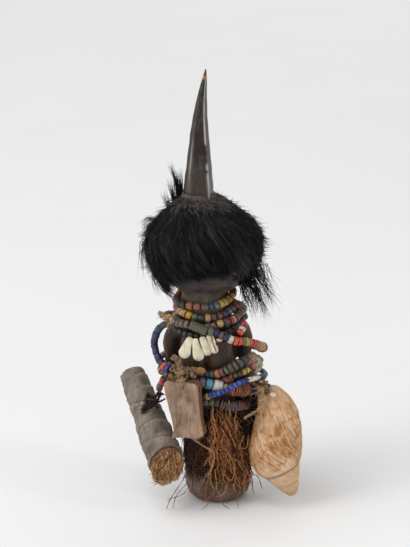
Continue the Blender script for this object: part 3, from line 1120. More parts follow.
strung["disc"] = string_beads("beads_waist_discs", disc_waist, [
    ("navy", 1, 2.6, 3.7), ("plum", 1, 4.6, 4.2), ("teal", 1, 6.2, 4.4), ("white", 1, 8, 4.7),
    ("cream", 1, 4, 3.6), ("seed", 2, 1.7, 5.0), ("brick", 1, 1.6, 5.5), ("seed", 3, 1.7, 5.6),
    ("umber", 1, 1.7, 5.6), ("seed", 2, 1.7, 5.6), ("rust", 1, 1.8, 5.2), ("seed", 1, 1.8, 5.1),
    ("navy", 4, 2.3, 4.8), ("dusk", 1, 2.4, 4.4)], dull, 3.1, "waist_strand_discs", True)
strung["blue"] = string_beads("beads_waist_blue", blue_waist, [
    ("straw", 1, 3.6, 2.6), ("cobalt", 3, 3.6, 2.35), ("royal", 2, 3.6, 2.35), ("cobalt", 3, 3.6, 2.35),
    ("royal", 1, 3.4, 2.35), ("navy", 1, 3.2, 2.35), ("white", 1, 13.6, 2.1), ("slate", 2, 4, 2.9)],
    ["navy", "cobalt", "slate", "royal", "char", "dusk"], 2.25, "waist_strand_blue", True)
strung["low"] = string_beads("beads_waist_low", low_waist, [
    ("olive", 2, 4.6), ("cocoa", 1, 4.6), ("cocoa", 5, 1.9, 4.2), ("plum", 4, 1.9, 4.3), ("maroon", 1, 1.8, 4.3),
    ("plum", 4, 2, 4.2), ("smoke", 2, 2.2, 4)], dull, 3.1, "waist_strand_low", True)

# %% [markdown]
# ## Threads
#
# Nothing holds beads together but thread, and where two beads gape it shows. One thin tube runs along
# every strand, and a few turns of yellow thread cross the seed-shell discs.

# %% Run the threads
thread_paths = [spread_along(line, 90) for line in strung.values()]
disc_line = spread_along(strung["disc"], 400)
for start, turns in ((0.13, 0.8), (0.165, 0.7), (0.18, 0.8)):
    piece_of_line = disc_line[int(start * 400):int((start + 0.045) * 400)]
    coil = plies(piece_of_line, 11.2, 1, pitch=travelled(piece_of_line)[-1] / turns, rings=90, loose=0)
    thread_paths += coil
thread_tints = np.array([shade(150, 124, 86)[:3]] * len(strung) + [shade(206, 166, 92)[:3]] * 3)
thread_radii = np.array([0.6] * len(strung) + [0.24] * 3)[:, None]


def fibre_finish(name, dark, light, roughness=0.85):
    """Dull plant fibre: the colour of each strand, with finer light and dark along it."""
    fibre = Finish(name, roughness, 0.25)
    flecks = fibre.blotches(1.1, (1, 1, 1.5), detail=5, rough=0.65)
    shades = fibre.tones(flecks, (0.28, shade(dark, dark * 0.94, dark * 0.9)), (0.68, shade(light, light, light)))
    fibre.set("Base Color", fibre.mix(1.0, fibre.mark("tint", "Color"), shades, "MULTIPLY"))
    fibre.raise_by(flecks, 0.2, 0.5)
    return fibre.material


raffia = fibre_finish("raffia", 160, 255)
hand_over(lay_tubes("strand_threads", thread_paths, thread_radii, 5, thread_tints), raffia,
          *["neck_strand_" + where for where in ("upper", "middle", "lower")], "chest_strand", "red_white_strand",
          "blue_arm_loop", "side_strand", *["waist_strand_" + where for where in ("top", "short", "discs", "blue", "low")])

# %% [markdown]
# ## Shell pendants
#
# Three flat drops ground from thick white shell and one small cowrie hang in front of the chest. Each is a
# tube whose thickness changes along its length, squeezed flat from front to back.

# %% Hang the pendants
pendant_lines = [[[-21.4, -30.6, 144.6], [-24.6, -31.4, 137], [-27.6, -32, 127.6]],
                 [[-18.4, -31, 143.6], [-16.8, -32, 135], [-14.4, -32.4, 125.6]],
                 [[-13, -31, 145], [-10.6, -32, 138], [-7.2, -32.2, 130]],
                 [[-7.2, -30.6, 147], [-4.8, -31.8, 139], [-2.2, -32.2, 131.6]]]
drop_wide = [4.8, 4.5, 3.4, 3.2]
drop_waist = [0.5, 0.5, 0.72, 0.9]


def drop(share, wide, waist, long):
    """A teardrop's thickness: narrow at the top, and round as a ball at the foot."""
    body = waist + (1 - waist) * np.clip(share / (1 - wide / long), 0, 1) ** 1.3
    top = np.sqrt(np.clip(1 - (1 - np.clip(share / 0.09, 0, 1)) ** 2, 0.01, 1))
    foot = np.sqrt(np.clip(1 - np.clip((share - 1 + wide / long) / (wide / long), 0, 1) ** 2, 0.003, 1))
    return wide * body * top * foot


def ivory_finish():
    ivory = Finish("ground_shell", 0.42, 0.5)
    cloud = ivory.blotches(4, (1, 1, 2), detail=4)
    colour = ivory.tones(cloud, (0.3, shade(184, 170, 140)), (0.55, shade(218, 208, 184)), (0.75, shade(232, 226, 206)))
    stain = ivory.span(ivory.blotches(1.6, (0.5, 1, 3), detail=5, rough=0.7), 0, 1, 0.6, 0.74)
    colour = ivory.mix(ivory.maths("MULTIPLY", stain, ivory.mark("stain")), colour, shade(150, 104, 72))
    ivory.set("Base Color", ivory.mix(ivory.span(ivory.mark("slit"), 0, 1, 0.15, 0.6), colour, shade(112, 70, 46)))
    ivory.raise_by(cloud, 0.3, 0.5)
    return ivory.material


ground_shell = ivory_finish()
for i, points in enumerate(pendant_lines):
    line = smooth_route(points)
    path = spread_along(line, 44)
    thick = drop(np.linspace(0, 1, 44), drop_wide[i], drop_waist[i], travelled(line)[-1])
    mesh = lay_tubes(f"pendant_{i + 1}", path[None], thick[None], 28, squeeze=(1, 0.5 if i < 3 else 0.72, 1))
    places = corners(mesh)
    middle = np.stack([np.interp(-places[:, 2], -path[:, 2], path[:, k]) for k in range(3)], -1)
    side, near = places[:, 0] - middle[:, 0], places[:, 1] < middle[:, 1]
    slit = np.exp(-((side - 0.9 - 0.05 * (places[:, 2] - 138) ** 2 / 6) / 0.42) ** 2) * near * (np.abs(places[:, 2] - path[20, 2]) < 6.2) * (i == 3)
    places[:, 1] += 1.3 * slit
    move_corners(mesh, places + 0.14 * swell(places, 3.5, i)[:, None])
    note(mesh, "stain", np.full(len(places), 0.9 if i == 3 else 0.15))
    note(mesh, "slit", slit)
    hand_over(mesh, ground_shell, f"shell_pendant_{i + 1}")

# %% [markdown]
# ## Knots and ties
#
# The bundles are hung with twisted raffia and cord. A rope is two or three strands that spiral round each
# other, with coils wrapped over the knots, and torn fibres stand off all of it. The winding on the left hip
# is a ball of thread, which is drawn as many rings about one centre, each tilted another way.

# %% Twist the ropes
TIE_RINGS = 36
loose_ends = {"paths": [], "tints": []}


def twisted(ropes, strands=3, seed=1, coils=(), fray=60, reach=3.5):
    """Strands spiralling along each rope, and coils round it at given shares. Returns paths, radii, tints."""
    chance = np.random.default_rng(seed)
    paths, radii, tints = [], [], []
    for points, thick, hue in ropes:
        line = smooth_route(points)
        paths += plies(line, thick, strands, pitch=thick * 4.2, rings=TIE_RINGS, loose=0.4, seed=seed)
        radii += [thick * chance.uniform(0.42, 0.6) for _ in range(strands)]
        tints += [np.array(shade(*hue)[:3]) * chance.uniform(0.75, 1.2) for _ in range(strands)]
    for which, share, turns in coils:
        points, thick, hue = ropes[which]
        line = spread_along(smooth_route(points), 120)
        first = int(max(0, share - 0.08) * 119)
        part = line[first:first + 16]
        paths += plies(part, thick * 2.1, 1, pitch=travelled(part)[-1] / turns, rings=TIE_RINGS, loose=0.3, seed=which)
        radii += [thick * 0.4]
        tints += [np.array(shade(*hue)[:3]) * chance.uniform(0.9, 1.25)]
    ways = chance.normal(size=(fray, 2, 3))
    for way, bend in ways:
        k = chance.integers(len(paths))
        root = paths[k][chance.integers(TIE_RINGS)]
        steps = np.linspace(0, 1, 5)[:, None]
        curl = steps * way * 0.6 + steps**2 * (bend * 0.5 + [0, 0, -0.5])
        loose_ends["paths"].append(root + curl * reach * chance.uniform(0.4, 1.3))
        loose_ends["tints"].append(tints[k] * chance.uniform(0.8, 1.4))
    return paths, radii, tints


def wound_ball(centre, size, count, thick, hue, seed=3):
    """Rings of thread about one centre, each tilted another way."""
    chance = np.random.default_rng(seed)
    turn = np.linspace(0, 2 * math.pi, TIE_RINGS)
    paths, tints = [], []
    for _ in range(count):
        pole = chance.normal(size=3)
        first = np.cross(pole, chance.normal(size=3))
        first /= np.linalg.norm(first)
        second = np.cross(pole, first)
        second /= np.linalg.norm(second)
        ring = np.cos(turn)[:, None] * first + np.sin(turn)[:, None] * second
        paths.append(np.array(centre) + ring * size * chance.uniform(0.86, 1.02))
        tints.append(np.array(shade(*hue)[:3]) * chance.uniform(0.7, 1.25))
    return paths, [thick] * count, tints


def tie_up(name, *parts):
    paths, radii, tints = [sum(lists, []) for lists in zip(*parts)]
    hand_over(lay_tubes(name + "_cords", paths, np.array(radii)[:, None], 6, np.array(tints)), raffia, name)


def glass_bead(name, centre, size, colour, node):
    mesh = ball(centre, size)
    mesh.name = name
    note(mesh, "tint", np.tile(glass[colour], (len(mesh.vertices), 1)))
    note(mesh, "grime", np.zeros(len(mesh.vertices)))
    hand_over(mesh, trade_glass, node)


print("rope makers ready")

# %% Tie the shoulder, the packet and the hip
pale, straw_brown, dry, dark_cord = (204, 182, 148), (158, 130, 100), (146, 122, 98), (44, 34, 30)
tie_up("shoulder_knot", twisted([
    ([[-46.4, -14, 159], [-42, -15.6, 156.4], [-38.4, -18.4, 156.6], [-36.2, -22.6, 155.8]], 1.9, pale),
    ([[-40.4, -17.6, 158], [-39.2, -20.6, 154.4], [-38, -21.8, 149]], 2.1, straw_brown),
    ([[-43, -15, 154.6], [-39.4, -19.6, 157.6], [-36.4, -21, 153]], 1.3, pale),
    ([[-45.4, -13.4, 154.6], [-43, -15.4, 157.4], [-40.6, -17, 160.4]], 1.0, straw_brown)],
    2, 4, [(0, 0.7, 2.5), (1, 0.3, 2)], 90, 3))
tie_up("packet_tie", twisted([
    ([[-36, -29, 126.8], [-31.6, -31.4, 127.4], [-29.8, -33.4, 122], [-29.6, -33.4, 115]], 2.3, dry),
    ([[-36.8, -31, 119.4], [-33, -33.4, 117], [-28.6, -34, 116.4], [-23.2, -33.6, 119.6]], 2.3, dry),
    ([[-29.8, -34, 119], [-29.4, -37.6, 115], [-28.2, -40.6, 110.6], [-28, -43.4, 106.6]], 2.4, straw_brown),
    ([[-24.8, -33.6, 117.6], [-21, -34.4, 115.6], [-18.6, -35.6, 112.6]], 2.3, dry),
    ([[-33, -30.6, 125], [-30.8, -34.4, 119.6], [-31.8, -34, 113.6]], 1.2, straw_brown),
    ([[-27, -33, 121], [-24, -35, 116], [-26.4, -38, 111.4]], 1.2, dry)],
    2, 5, [(2, 0.25, 2), (2, 0.62, 2), (0, 0.8, 2), (1, 0.6, 2)], 60, 2.6),
    twisted([([[-24.6, -33.6, 119], [-19, -34, 118.4], [-12.4, -33.6, 118.2]], 2.3, (136, 104, 72))], 3, 8, [], 40, 3))
seed_pod = ball((-14.4, -33.6, 118), (4.6, 2.5, 2.7))
seed_pod.name = "seed_pod"
press(seed_pod, 0.35 * swell(corners(seed_pod), 3, 2))
note(seed_pod, "tint", np.tile(shade(172, 130, 84)[:3], (len(seed_pod.vertices), 1)))
hand_over(seed_pod, raffia, "packet_tie")
tie_up("waist_knot", wound_ball((29.6, -16.8, 117), (4.4, 4.9, 5.2), 44, 0.9, (196, 184, 162)),
       wound_ball((26.4, -18.4, 122.4), (3.4, 3.4, 4.6), 24, 0.9, (178, 156, 134), 5), twisted([
    ([[28, -19, 124.4], [31.4, -19.4, 120], [31.6, -20, 114.4], [28, -20.6, 111.6]], 1.9, (196, 186, 164)),
    ([[25.4, -21, 121], [27.4, -21.6, 118.6], [27.4, -22, 113.4], [24.8, -22.6, 111.4]], 1.3, (140, 96, 78))],
    3, 6, [(0, 0.5, 3)], 90, 2.4))
glass_bead("pink_bead", (27, -22.6, 118), (2, 1.8, 3), "pink", "waist_knot")

# %% Tie the bundle and the snail shell
tie_up("bundle_tie", twisted([
    ([[-57, -17.4, 86.4], [-52, -16.4, 88.6], [-48, -14, 90.4], [-43.6, -10, 89]], 1.1, dark_cord),
    ([[-58.6, -18.4, 82.6], [-53.6, -21, 82], [-48.8, -18.4, 86], [-45, -14, 92]], 1.3, dark_cord),
    ([[-49.4, -15, 89], [-50, -18.4, 85], [-47.6, -19, 80.6]], 1.0, (66, 50, 42)),
    ([[-56, -17.6, 88], [-50.6, -18.8, 87.6], [-46, -16.4, 85.4], [-42, -17, 88]], 0.8, (92, 72, 56)),
    ([[-60.4, -18.8, 79.6], [-56.6, -20.6, 83.6], [-52, -19, 86.6], [-47, -13, 92.4]], 0.9, dark_cord)],
    2, 7, [(1, 0.6, 2.5)], 150, 4.2))
chance = np.random.default_rng(31)
tangle = []
for k in range(9):
    loop = chance.normal(size=(4, 3)) * [4.2, 2.2, 3.4] + [35.4, -26.2, 101.6]
    loop[:, 1] = np.clip(loop[:, 1], -29.5, -23)
    tangle.append((loop.tolist(), chance.uniform(0.5, 1.0), [(186, 150, 106), (130, 106, 84), (84, 70, 62)][k % 3]))
tie_up("shell_tie", twisted(tangle + [
    ([[26.8, -24.6, 104], [31.2, -23.6, 101.8], [34.8, -25, 104.4], [39.8, -27, 99.4]], 1.4, (170, 138, 100)),
    ([[31.4, -27.6, 103], [34.4, -29.4, 98.6], [33, -32, 91], [31, -33.4, 84.4]], 1.5, (198, 160, 114)),
    ([[31, -33.4, 85], [26, -34, 82], [20, -34, 78.4]], 1.2, (182, 148, 112)),
    ([[25.4, -27, 95.6], [31, -29.6, 98.6], [37.6, -30, 102.4]], 0.7, (150, 142, 138)),
    ([[29.6, -23.6, 101.4], [33.4, -27.4, 99.6], [38.4, -28, 98]], 1.2, (150, 122, 92))],
    2, 9, [(9, 0.4, 2.5), (10, 0.2, 3)], 170, 3.2))
glass_bead("white_bead", (42.6, -30, 96.4), (2.4, 1.9, 1.8), "white", "shell_tie")
glass_bead("blue_bead", (29.4, -27.6, 97), (1.7, 1.5, 1.6), "dusk", "shell_tie")
glass_bead("small_white_bead", (0.6, -31.4, 142.4), (2.6, 1.7, 1.6), "cream", "pendant_strand")
nape_ropes = [([[-4, 27.4, 150], [0, 29, 148.4], [3, 27.4, 146.4]], 1.6, dry),
              ([[0, 28.8, 149.6], [0.6, 29.4, 145], [-1.6, 29, 140]], 1.1, straw_brown),
              ([[-2.2, -31, 144.4], [-0.4, -31.8, 141.4], [-2.4, -32.8, 138.4]], 0.7, (120, 78, 52))]
tie_up("pendant_strand", twisted(nape_ropes, 2, 12, [(0, 0.5, 2.5)], 40, 3),
       ([spread_along(strung["pendant"], TIE_RINGS)], [0.6], [np.array(shade(70, 56, 42)[:3])]))
frays = np.array(loose_ends["paths"])
fine = np.broadcast_to(np.array([0.2, 0.19, 0.16, 0.12, 0.05]), frays.shape[:2])
hand_over(lay_tubes("tie_frays", frays, fine, 3, np.array(loose_ends["tints"])), raffia,
          "packet_tie", "shoulder_knot", "waist_knot", "bundle_tie", "shell_tie")

# %% [markdown]
# ## The packet on the belly
#
# A flat packet of dry bark or hide hangs in front, folded over at its edges and bowed along its length.
# Its outline is drawn, made solid and given rounded edges with a bevel. Then it is filled with small
# cubes like the wood, because an even skin can be pressed into upright grain, a hollow and dents.

# %% Fold the packet
packet_outline = [[-15.2, 20], [-13, 22.4], [9.6, 23.4], [11.8, 21.6], [12.8, 11], [14.4, -6], [17.4, -17.6],
                  [13, -21.8], [4.5, -21.8], [-4, -22.8],
                  [-8.4, -23.4], [-7.2, -17], [-8.8, -8], [-11.8, 4], [-13.8, 12]]
form = bmesh.new()
face = form.faces.new([form.verts.new((x, z, -5.6)) for x, z in packet_outline])
top = bmesh.ops.extrude_face_region(form, geom=[face])["geom"]
bmesh.ops.translate(form, vec=(0, 0, 11.2), verts=[v for v in top if isinstance(v, bmesh.types.BMVert)])
rims = [e for e in form.edges if abs(e.verts[0].co.z - e.verts[1].co.z) < 0.1]
bmesh.ops.bevel(form, geom=rims, offset=0.9, affect="EDGES", segments=2, profile=0.5, material=-1)
packet = grow_together("packet_skin", [settle(form, "packet_block")], 0.55, 1)
flat = corners(packet)
front = flat[:, 2] > 3
rim = np.exp(-np.maximum(np.minimum(flat[:, 0] + 12.6 + 0.08 * flat[:, 1], 14.4 - flat[:, 0] - 0.08 * flat[:, 1]), 0) / 1.8)
hollow = 0.6 * front * np.exp(-((flat[:, 0] - 1) / 9) ** 2) * np.exp(-((flat[:, 1] + 2) / 22) ** 2)
grain = swell(flat * [1, 0.14, 1], 2.1, 11)
fine_grain = swell(flat * [1, 0.2, 1], 1.3, 13)
press(packet, 0.4 * swell(flat * [1, 0.8, 1], 9, 12) + 0.14 * grain + 0.12 * fine_grain + 0.4 * rim * front - hollow)
note(packet, "edge", rim)
note(packet, "side", np.clip((4.2 - flat[:, 2]) / 1.5, 0, 1))
to_place = (Matrix.Translation((-26.6, -38.8, 88)) @ Matrix.Rotation(-0.34, 4, "Z")
            @ Matrix.Rotation(-0.05, 4, "X") @ Matrix.Rotation(math.pi / 2, 4, "X"))
packet.transform(to_place)


def bark_finish():
    bark = Finish("dry_bark", 0.78, 0.3)
    cloud = bark.blotches(7, (1, 1, 1.6), detail=5)
    streaks = bark.blotches(1.7, (1, 1, 5), detail=6, rough=0.7, turn=(0, 0.15, 0), twist=0.6)
    colour = bark.tones(cloud, (0.3, shade(108, 85, 68)), (0.5, shade(138, 113, 94)), (0.72, shade(166, 141, 119)))
    colour = bark.mix(bark.span(streaks, 0, 0.42, 0.5, 0.68), colour, shade(86, 66, 54))
    colour = bark.mix(bark.span(streaks, 0.34, 0, 0.36, 0.46), colour, shade(180, 152, 126))
    greyed = bark.span(bark.blotches(5, (1, 1, 1.3), detail=4), 0, 0.55, 0.54, 0.66)
    colour = bark.mix(greyed, colour, shade(134, 122, 114))
    colour = bark.mix(bark.maths("MULTIPLY", bark.mark("edge"), 0.5), colour, shade(196, 156, 118))
    colour = bark.mix(bark.maths("MULTIPLY", bark.mark("side"), 0.85), colour, shade(88, 56, 38))
    pits = bark.span(bark.blotches(2.2, (1, 1, 2), detail=5, rough=0.7), 0, 0.85, 0.6, 0.7)
    bark.set("Base Color", bark.mix(pits, colour, shade(66, 50, 42)))
    bark.raise_by(streaks, 0.5, 0.7)
    bark.raise_by(cloud, 0.5, 0.4)
    return bark.material


hand_over(packet, bark_finish(), "packet")
chance = np.random.default_rng(17)
edge_line = spread_along(smooth_route([[x, z, 0] for x, z in packet_outline], True, 6), 300)
inner = edge_line * 0.9
pick = chance.integers(300, size=260)
start = edge_line[pick] * 0.97 + [0, 0, 1] * chance.uniform(-3.5, 5.2, (260, 1))
way = (edge_line - inner)[pick] * 0.6 + chance.normal(0, 0.7, (260, 3)) + [0, -0.5, 0]
steps = np.linspace(0, 1, 6)[None, :, None]
strips = start[:, None] + steps * way[:, None] * chance.uniform(0.5, 1.2, (260, 1, 1))
strips = strips @ np.array(to_place.to_3x3()).T + np.array(to_place.translation)
bark_hues = np.array([shade(182, 148, 110)[:3], shade(140, 108, 80)[:3], shade(98, 74, 56)[:3]])[chance.integers(3, size=260)]
hand_over(lay_tubes("packet_frays", strips, np.linspace(0.3, 0.08, 6)[None], 3, bark_hues), raffia, "packet")

# %% [markdown]
# ## The hide roll
#
# A long roll of hide is wrapped in overlapping turns round a fibrous filling, which swells out of its
# lower end. The wrap is a spun form bent along a route. Its profile runs down the outside, over the rim and
# back up inside, so it is really hollow, and steps and creases are added to its radius where turns overlap.

# %% Bend forms along a route
def sleeve(name, route, profile, rings, steps, change, slant=0.12):
    """A spun form bent along a route, whose lower end is cut on the slant.

    The profile lists shares of the route and radii, and change adds to the radii.
    """
    line = spread_along(smooth_route(route), 300)
    _, across, upward = headings(line[None])
    table = between([[i, *row] for i, row in enumerate(profile)], np.linspace(0, len(profile) - 1, rings))
    mesh = settle(turned_blank(rings, steps), name, tidy=False)
    blank = corners(mesh)
    ring = np.rint(blank[:, 2]).astype(int)
    share, radius = np.clip(table[ring, 1], 0, 1), table[ring, 2]
    angle = np.arctan2(blank[:, 1], blank[:, 0])
    at = np.linspace(0, 1, 300)
    facing_up = (np.cos(angle)[:, None] * across[0, -40] + np.sin(angle)[:, None] * upward[0, -40]) @ [0.24, -0.55, 0.8]
    reach = np.minimum(radius / 13, 1) * facing_up
    share = np.clip(share - slant * np.clip((share - 0.35) / 0.6, 0, 1) ** 2 * (0.5 + 0.5 * reach), 0, 1)
    spot, first, second = [np.stack([np.interp(share, at, rows[:, k]) for k in range(3)], -1)
                           for rows in (line, across[0], upward[0])]
    out = (radius + change(share, angle, ring)) * (np.hypot(blank[:, 0], blank[:, 1]) > 0.5)
    move_corners(mesh, spot + out[:, None] * (np.cos(angle)[:, None] * first + np.sin(angle)[:, None] * second))
    return mesh, share, angle, ring


roll_route = [[-69.2, 26, 94.2], [-62, 9, 80.8], [-53.4, -11, 65.6], [-44.6, -30, 50.4], [-39.4, -42.4, 40.6]]
wrap_profile = [[0, 5.4], [0.004, 8.2], [0.03, 9.7], [0.14, 10.3], [0.33, 11.2], [0.5, 12], [0.7, 12.9],
                [0.9, 13.8], [0.985, 14.1], [1, 13.6], [0.995, 12.5], [0.97, 12.2], [0.7, 11.4], [0.4, 9.6]]


def hide_folds(share, angle, ring):
    """Steps where one turn ends over the next, slanted creases and a seam along the roll."""
    total = 0.45 * swell(np.stack([share * 12, np.cos(angle), np.sin(angle)], -1), 2.6, 21)
    for at, slant, high in ((0.1, 0.03, 0.6), (0.21, 0.02, 0.7), (0.36, 0.05, 1.1), (0.5, -0.03, 0.6),
                            (0.64, 0.05, 1.2), (0.76, -0.03, 0.7), (0.88, 0.03, 0.6)):
        along = share - at - slant * np.sin(angle + at * 9)
        total += high * (np.clip(along / 0.014, 0, 1) - np.clip(along / 0.13, 0, 1))
        total -= 0.35 * np.exp(-((along + 0.008) / 0.007) ** 2)
    seam = np.abs((angle - 0.6 - 2.2 * share + math.pi) % (2 * math.pi) - math.pi)
    total += 0.7 * np.exp(-(seam / 0.1) ** 2) - 0.35 * np.exp(-((seam - 0.2) / 0.08) ** 2)
    return 1.3 * total * (ring < 104)


wrap, share, angle, ring = sleeve("hide_wrap", roll_route, wrap_profile, 150, 90, hide_folds)
places = corners(wrap)
gash = (places - [-54, -12, 82.4]) @ np.array([[0.69, -0.72], [0, 0], [0.72, 0.69]])
gape = 3.3 + 0.2 * gash[:, 0]
tear = np.exp(-((gash[:, 0] / 10.5) ** 4) - ((gash[:, 1] / gape.clip(0.8, 5)) ** 2)) * (places[:, 1] < 0)
lips = np.exp(-(((np.abs(gash[:, 1]) / gape.clip(0.8, 5)) - 1.7) / 0.5) ** 2 - ((gash[:, 0] / 10.5) ** 4)) * (places[:, 1] < 0)
outer = np.where(ring < 104, 1, -1)
press(wrap, 0.3 * swell(places, 6, 22) + 0.12 * swell(places * [1, 1, 0.5], 2.2, 23) + outer * (0.6 * lips - 4.2 * tear))
note(wrap, "tear", tear)
note(wrap, "along", share)


def hide_wrap_finish():
    leather = Finish("old_leather", 0.58, 0.4)
    cloud = leather.blotches(11, (1, 1, 1.5), detail=5, rough=0.6, twist=0.5)
    streaks = leather.blotches(1.4, (1, 2.4, 4), detail=6, rough=0.7, turn=(0.5, 0, 0.3))
    colour = leather.tones(cloud, (0.3, shade(76, 63, 54)), (0.48, shade(112, 99, 87)), (0.7, shade(140, 130, 117)))
    colour = leather.mix(leather.span(streaks, 0, 0.55, 0.48, 0.72), colour, shade(78, 66, 58))
    scuffs = leather.span(leather.blotches(4, (1, 2, 2), detail=6, rough=0.75), 0, 0.45, 0.6, 0.7)
    colour = leather.mix(scuffs, colour, shade(172, 152, 126))
    creases = leather.span(leather.add("NewGeometry", {}).outputs["Pointiness"], 0.85, 0, 0.44, 0.495)
    colour = leather.mix(creases, colour, shade(52, 42, 37))
    ridges = leather.span(leather.add("NewGeometry", {}).outputs["Pointiness"], 0, 0.6, 0.515, 0.56)
    colour = leather.mix(ridges, colour, shade(178, 164, 142))
    torn = leather.span(leather.maths("ADD", leather.mark("tear"), leather.maths("MULTIPLY", streaks, 0.3)), 0, 1, 0.46, 0.62)
    leather.set("Base Color", leather.mix(torn, colour, shade(30, 22, 20)))
    leather.set("Roughness", leather.span(cloud, 0.46, 0.68, 0.3, 0.7))
    leather.raise_by(streaks, 0.35, 0.6)
    leather.raise_by(leather.blotches(2.6, detail=5), 0.35, 0.4)
    return leather.material


hand_over(wrap, hide_wrap_finish(), "bundle_wrap")

# %% [markdown]
# ## The filling
#
# The filling is a tight sheaf of dry fibre that has felted at its cut end. A rough dome gives its mass, and
# fifteen hundred short fibres are laid over it, combed downwards with the odd one standing up.

# %% Stuff the roll
filling_route = roll_route + [[-37, -48.4, 36]]
filling_profile = [[0.09, 3], [0.5, 8.4], [0.9, 11.6], [0.945, 13.5], [0.972, 12.7], [0.99, 9.2], [0.998, 4.4], [1, 0.6]]
filling, share, angle, ring = sleeve("filling_dome", filling_route, filling_profile, 70, 80,
                                     lambda share, angle, ring: 0 * share)
dome = corners(filling)
press(filling, 0.7 * swell(dome, 5, 24) + 0.3 * swell(dome, 2, 25))
filling.calc_loop_triangles()
dome = corners(filling)
facing = np.zeros(len(filling.vertices) * 3, np.float32)
filling.vertex_normals.foreach_get("vector", facing)
facing = facing.reshape(-1, 3)
note(filling, "tint", np.tile(shade(132, 98, 68)[:3], (len(dome), 1)))
chance = np.random.default_rng(41)
FIBRES = 1500
end = np.flatnonzero(ring > 38)
pick = chance.choice(end, FIBRES)
root, normal = dome[pick] + chance.normal(0, 0.5, (FIBRES, 3)), facing[pick]
down = np.array([0.1, -0.2, -1.0]) + chance.normal(0, 0.28, (FIBRES, 3))
along = down - (down * normal).sum(1, keepdims=True) * normal
along /= np.linalg.norm(along, axis=1, keepdims=True)
side = np.cross(normal, along)
steps = np.linspace(0, 1, 7)[None, :, None]
long = chance.uniform(2, 7.5, (FIBRES, 1, 1))
lift = chance.uniform(0.1, 0.8, (FIBRES, 1, 1)) + (chance.random((FIBRES, 1, 1)) < 0.03) * 1.4
waves = 0.45 * np.sin(steps * chance.uniform(3, 9, (FIBRES, 1, 1)) + chance.uniform(0, 6.28, (FIBRES, 1, 1)))
rise = 0.15 + lift * np.sin(steps * 2.6) - (steps * long) ** 2 / 26
fibres = root[:, None] + along[:, None] * steps * long + side[:, None] * waves + normal[:, None] * rise
fibres[:, :, 2] = np.maximum(fibres[:, :, 2], 19)
hues = np.array([shade(*h)[:3] for h in ((230, 182, 130), (206, 156, 108), (176, 128, 88), (106, 76, 54), (240, 204, 158))])
fibre_hues = hues[chance.choice(5, FIBRES, p=[0.28, 0.3, 0.22, 0.12, 0.08])]
thin = np.array([0.36, 0.4, 0.4, 0.38, 0.34, 0.26, 0.12])[None] * chance.uniform(0.6, 1.25, (FIBRES, 1))
hand_over(filling, raffia, "bundle_filling")
hand_over(lay_tubes("filling_fibres", fibres, thin, 3, fibre_hues), raffia, "bundle_filling")

# %% [markdown]
# ## The snail shell
#
# A large land snail shell hangs by its open end with the spire down. A shell grows as one coil, so it is
# made as one: a grid is wound round the axis, its lower edge follows the suture, which climbs by a constant
# factor each turn, and the last turn ends in a free lip at the back. The same grid carries the growth
# lines, both as fine ridges and as a value that the material turns into streaks.

# %% Wind the coil
SHELL_LONG, GROWTH, FRONT_SUTURE, LIP = 95, 2.2, 0.265, 0.47
shell_outline = [[0, 2.2, 1.8], [0.03, 4.8, 1.2], [0.09, 8.4, 0.2], [0.18, 13.2, -1.8], [0.27, 17.4, -3.6],
                 [0.36, 19.4, -3.4], [0.5, 20.4, -1.2], [0.6, 19.4, 1.4], [0.7, 17.4, 3.8], [0.8, 14.4, 5.2],
                 [0.88, 11.8, 4.2], [0.95, 8.6, 2.4], [1, 3.4, 1]]


def ease(value, start, end):
    t = np.clip((value - start) / (end - start), 0, 1)
    return t * t * (3 - 2 * t)


def coil_of_shell(name, first, last, columns, rows, body):
    """One stretch of the coil as a grid: turns run across it, and the suture is its lower edge."""
    form = bmesh.new()
    bmesh.ops.create_grid(form, x_segments=columns, y_segments=rows, size=0.5)
    mesh = settle(form, name, tidy=False)
    grid = corners(mesh)
    turn = first + (last - first) * (grid[:, 0] + 0.5)
    up = grid[:, 1] + 0.5
    start = FRONT_SUTURE * GROWTH ** turn
    end = np.full_like(start, 0.995) if body else FRONT_SUTURE * GROWTH ** (turn + 1)
    share = start + (end - start) * (up - 0.03)
    outline = between(shell_outline, np.clip(share, 0, 1))
    low_edge = [0.86, 1.01, 1.05, 1.05, 1.02, 1, 0.95] if body else [0.9, 0.98, 1.0, 1.0, 0.985, 0.96, 0.93]
    swollen = np.interp(up, [0, 0.02, 0.06, 0.25, 0.55, 0.85, 1], low_edge)
    swollen *= 1 + 0.05 * ease(turn, LIP - 0.2, LIP)
    if body:
        swollen *= 1 - 0.45 * (1 - ease(turn, LIP - 1, LIP - 0.76)) * ease(up, 0.16, 0.4)
        swollen *= 1 - ease(up, 0.975, 1.0) * 0.96
    lines = turn + 0.27 * up + 0.05 * np.sin(math.pi * up)
    chance = np.random.default_rng(51)
    ripple = sum(np.sin(lines * 2 * math.pi * f + p) for f, p in zip(chance.uniform(18, 62, 7), chance.uniform(0, 6, 7)))
    wrinkle = swell(np.stack([lines * 95, share * 26, 0 * share], -1), 7, 53) * (1 - ease(share, 0.6, 0.85))
    radius = outline[:, 1] * swollen + (0.07 * ripple + 0.42 * wrinkle) * ease(up, 0, 0.1) * (1 if body else 0.5)
    around = 2 * math.pi * turn
    places = np.stack([outline[:, 2] + radius * np.sin(around), -radius * np.cos(around), share * SHELL_LONG], -1)
    places += 0.2 * swell(places, 9, 52)[:, None] * [1, 1, 0]
    move_corners(mesh, places)
    note(mesh, "growth", lines)
    note(mesh, "upward", share)
    note(mesh, "seam", np.exp(-((up - 0.012) / 0.016) ** 2) if body else ease(up, 0.74, 0.98) * 0.9 * ease(turn, LIP - 2.8, LIP - 1.4))
    return mesh


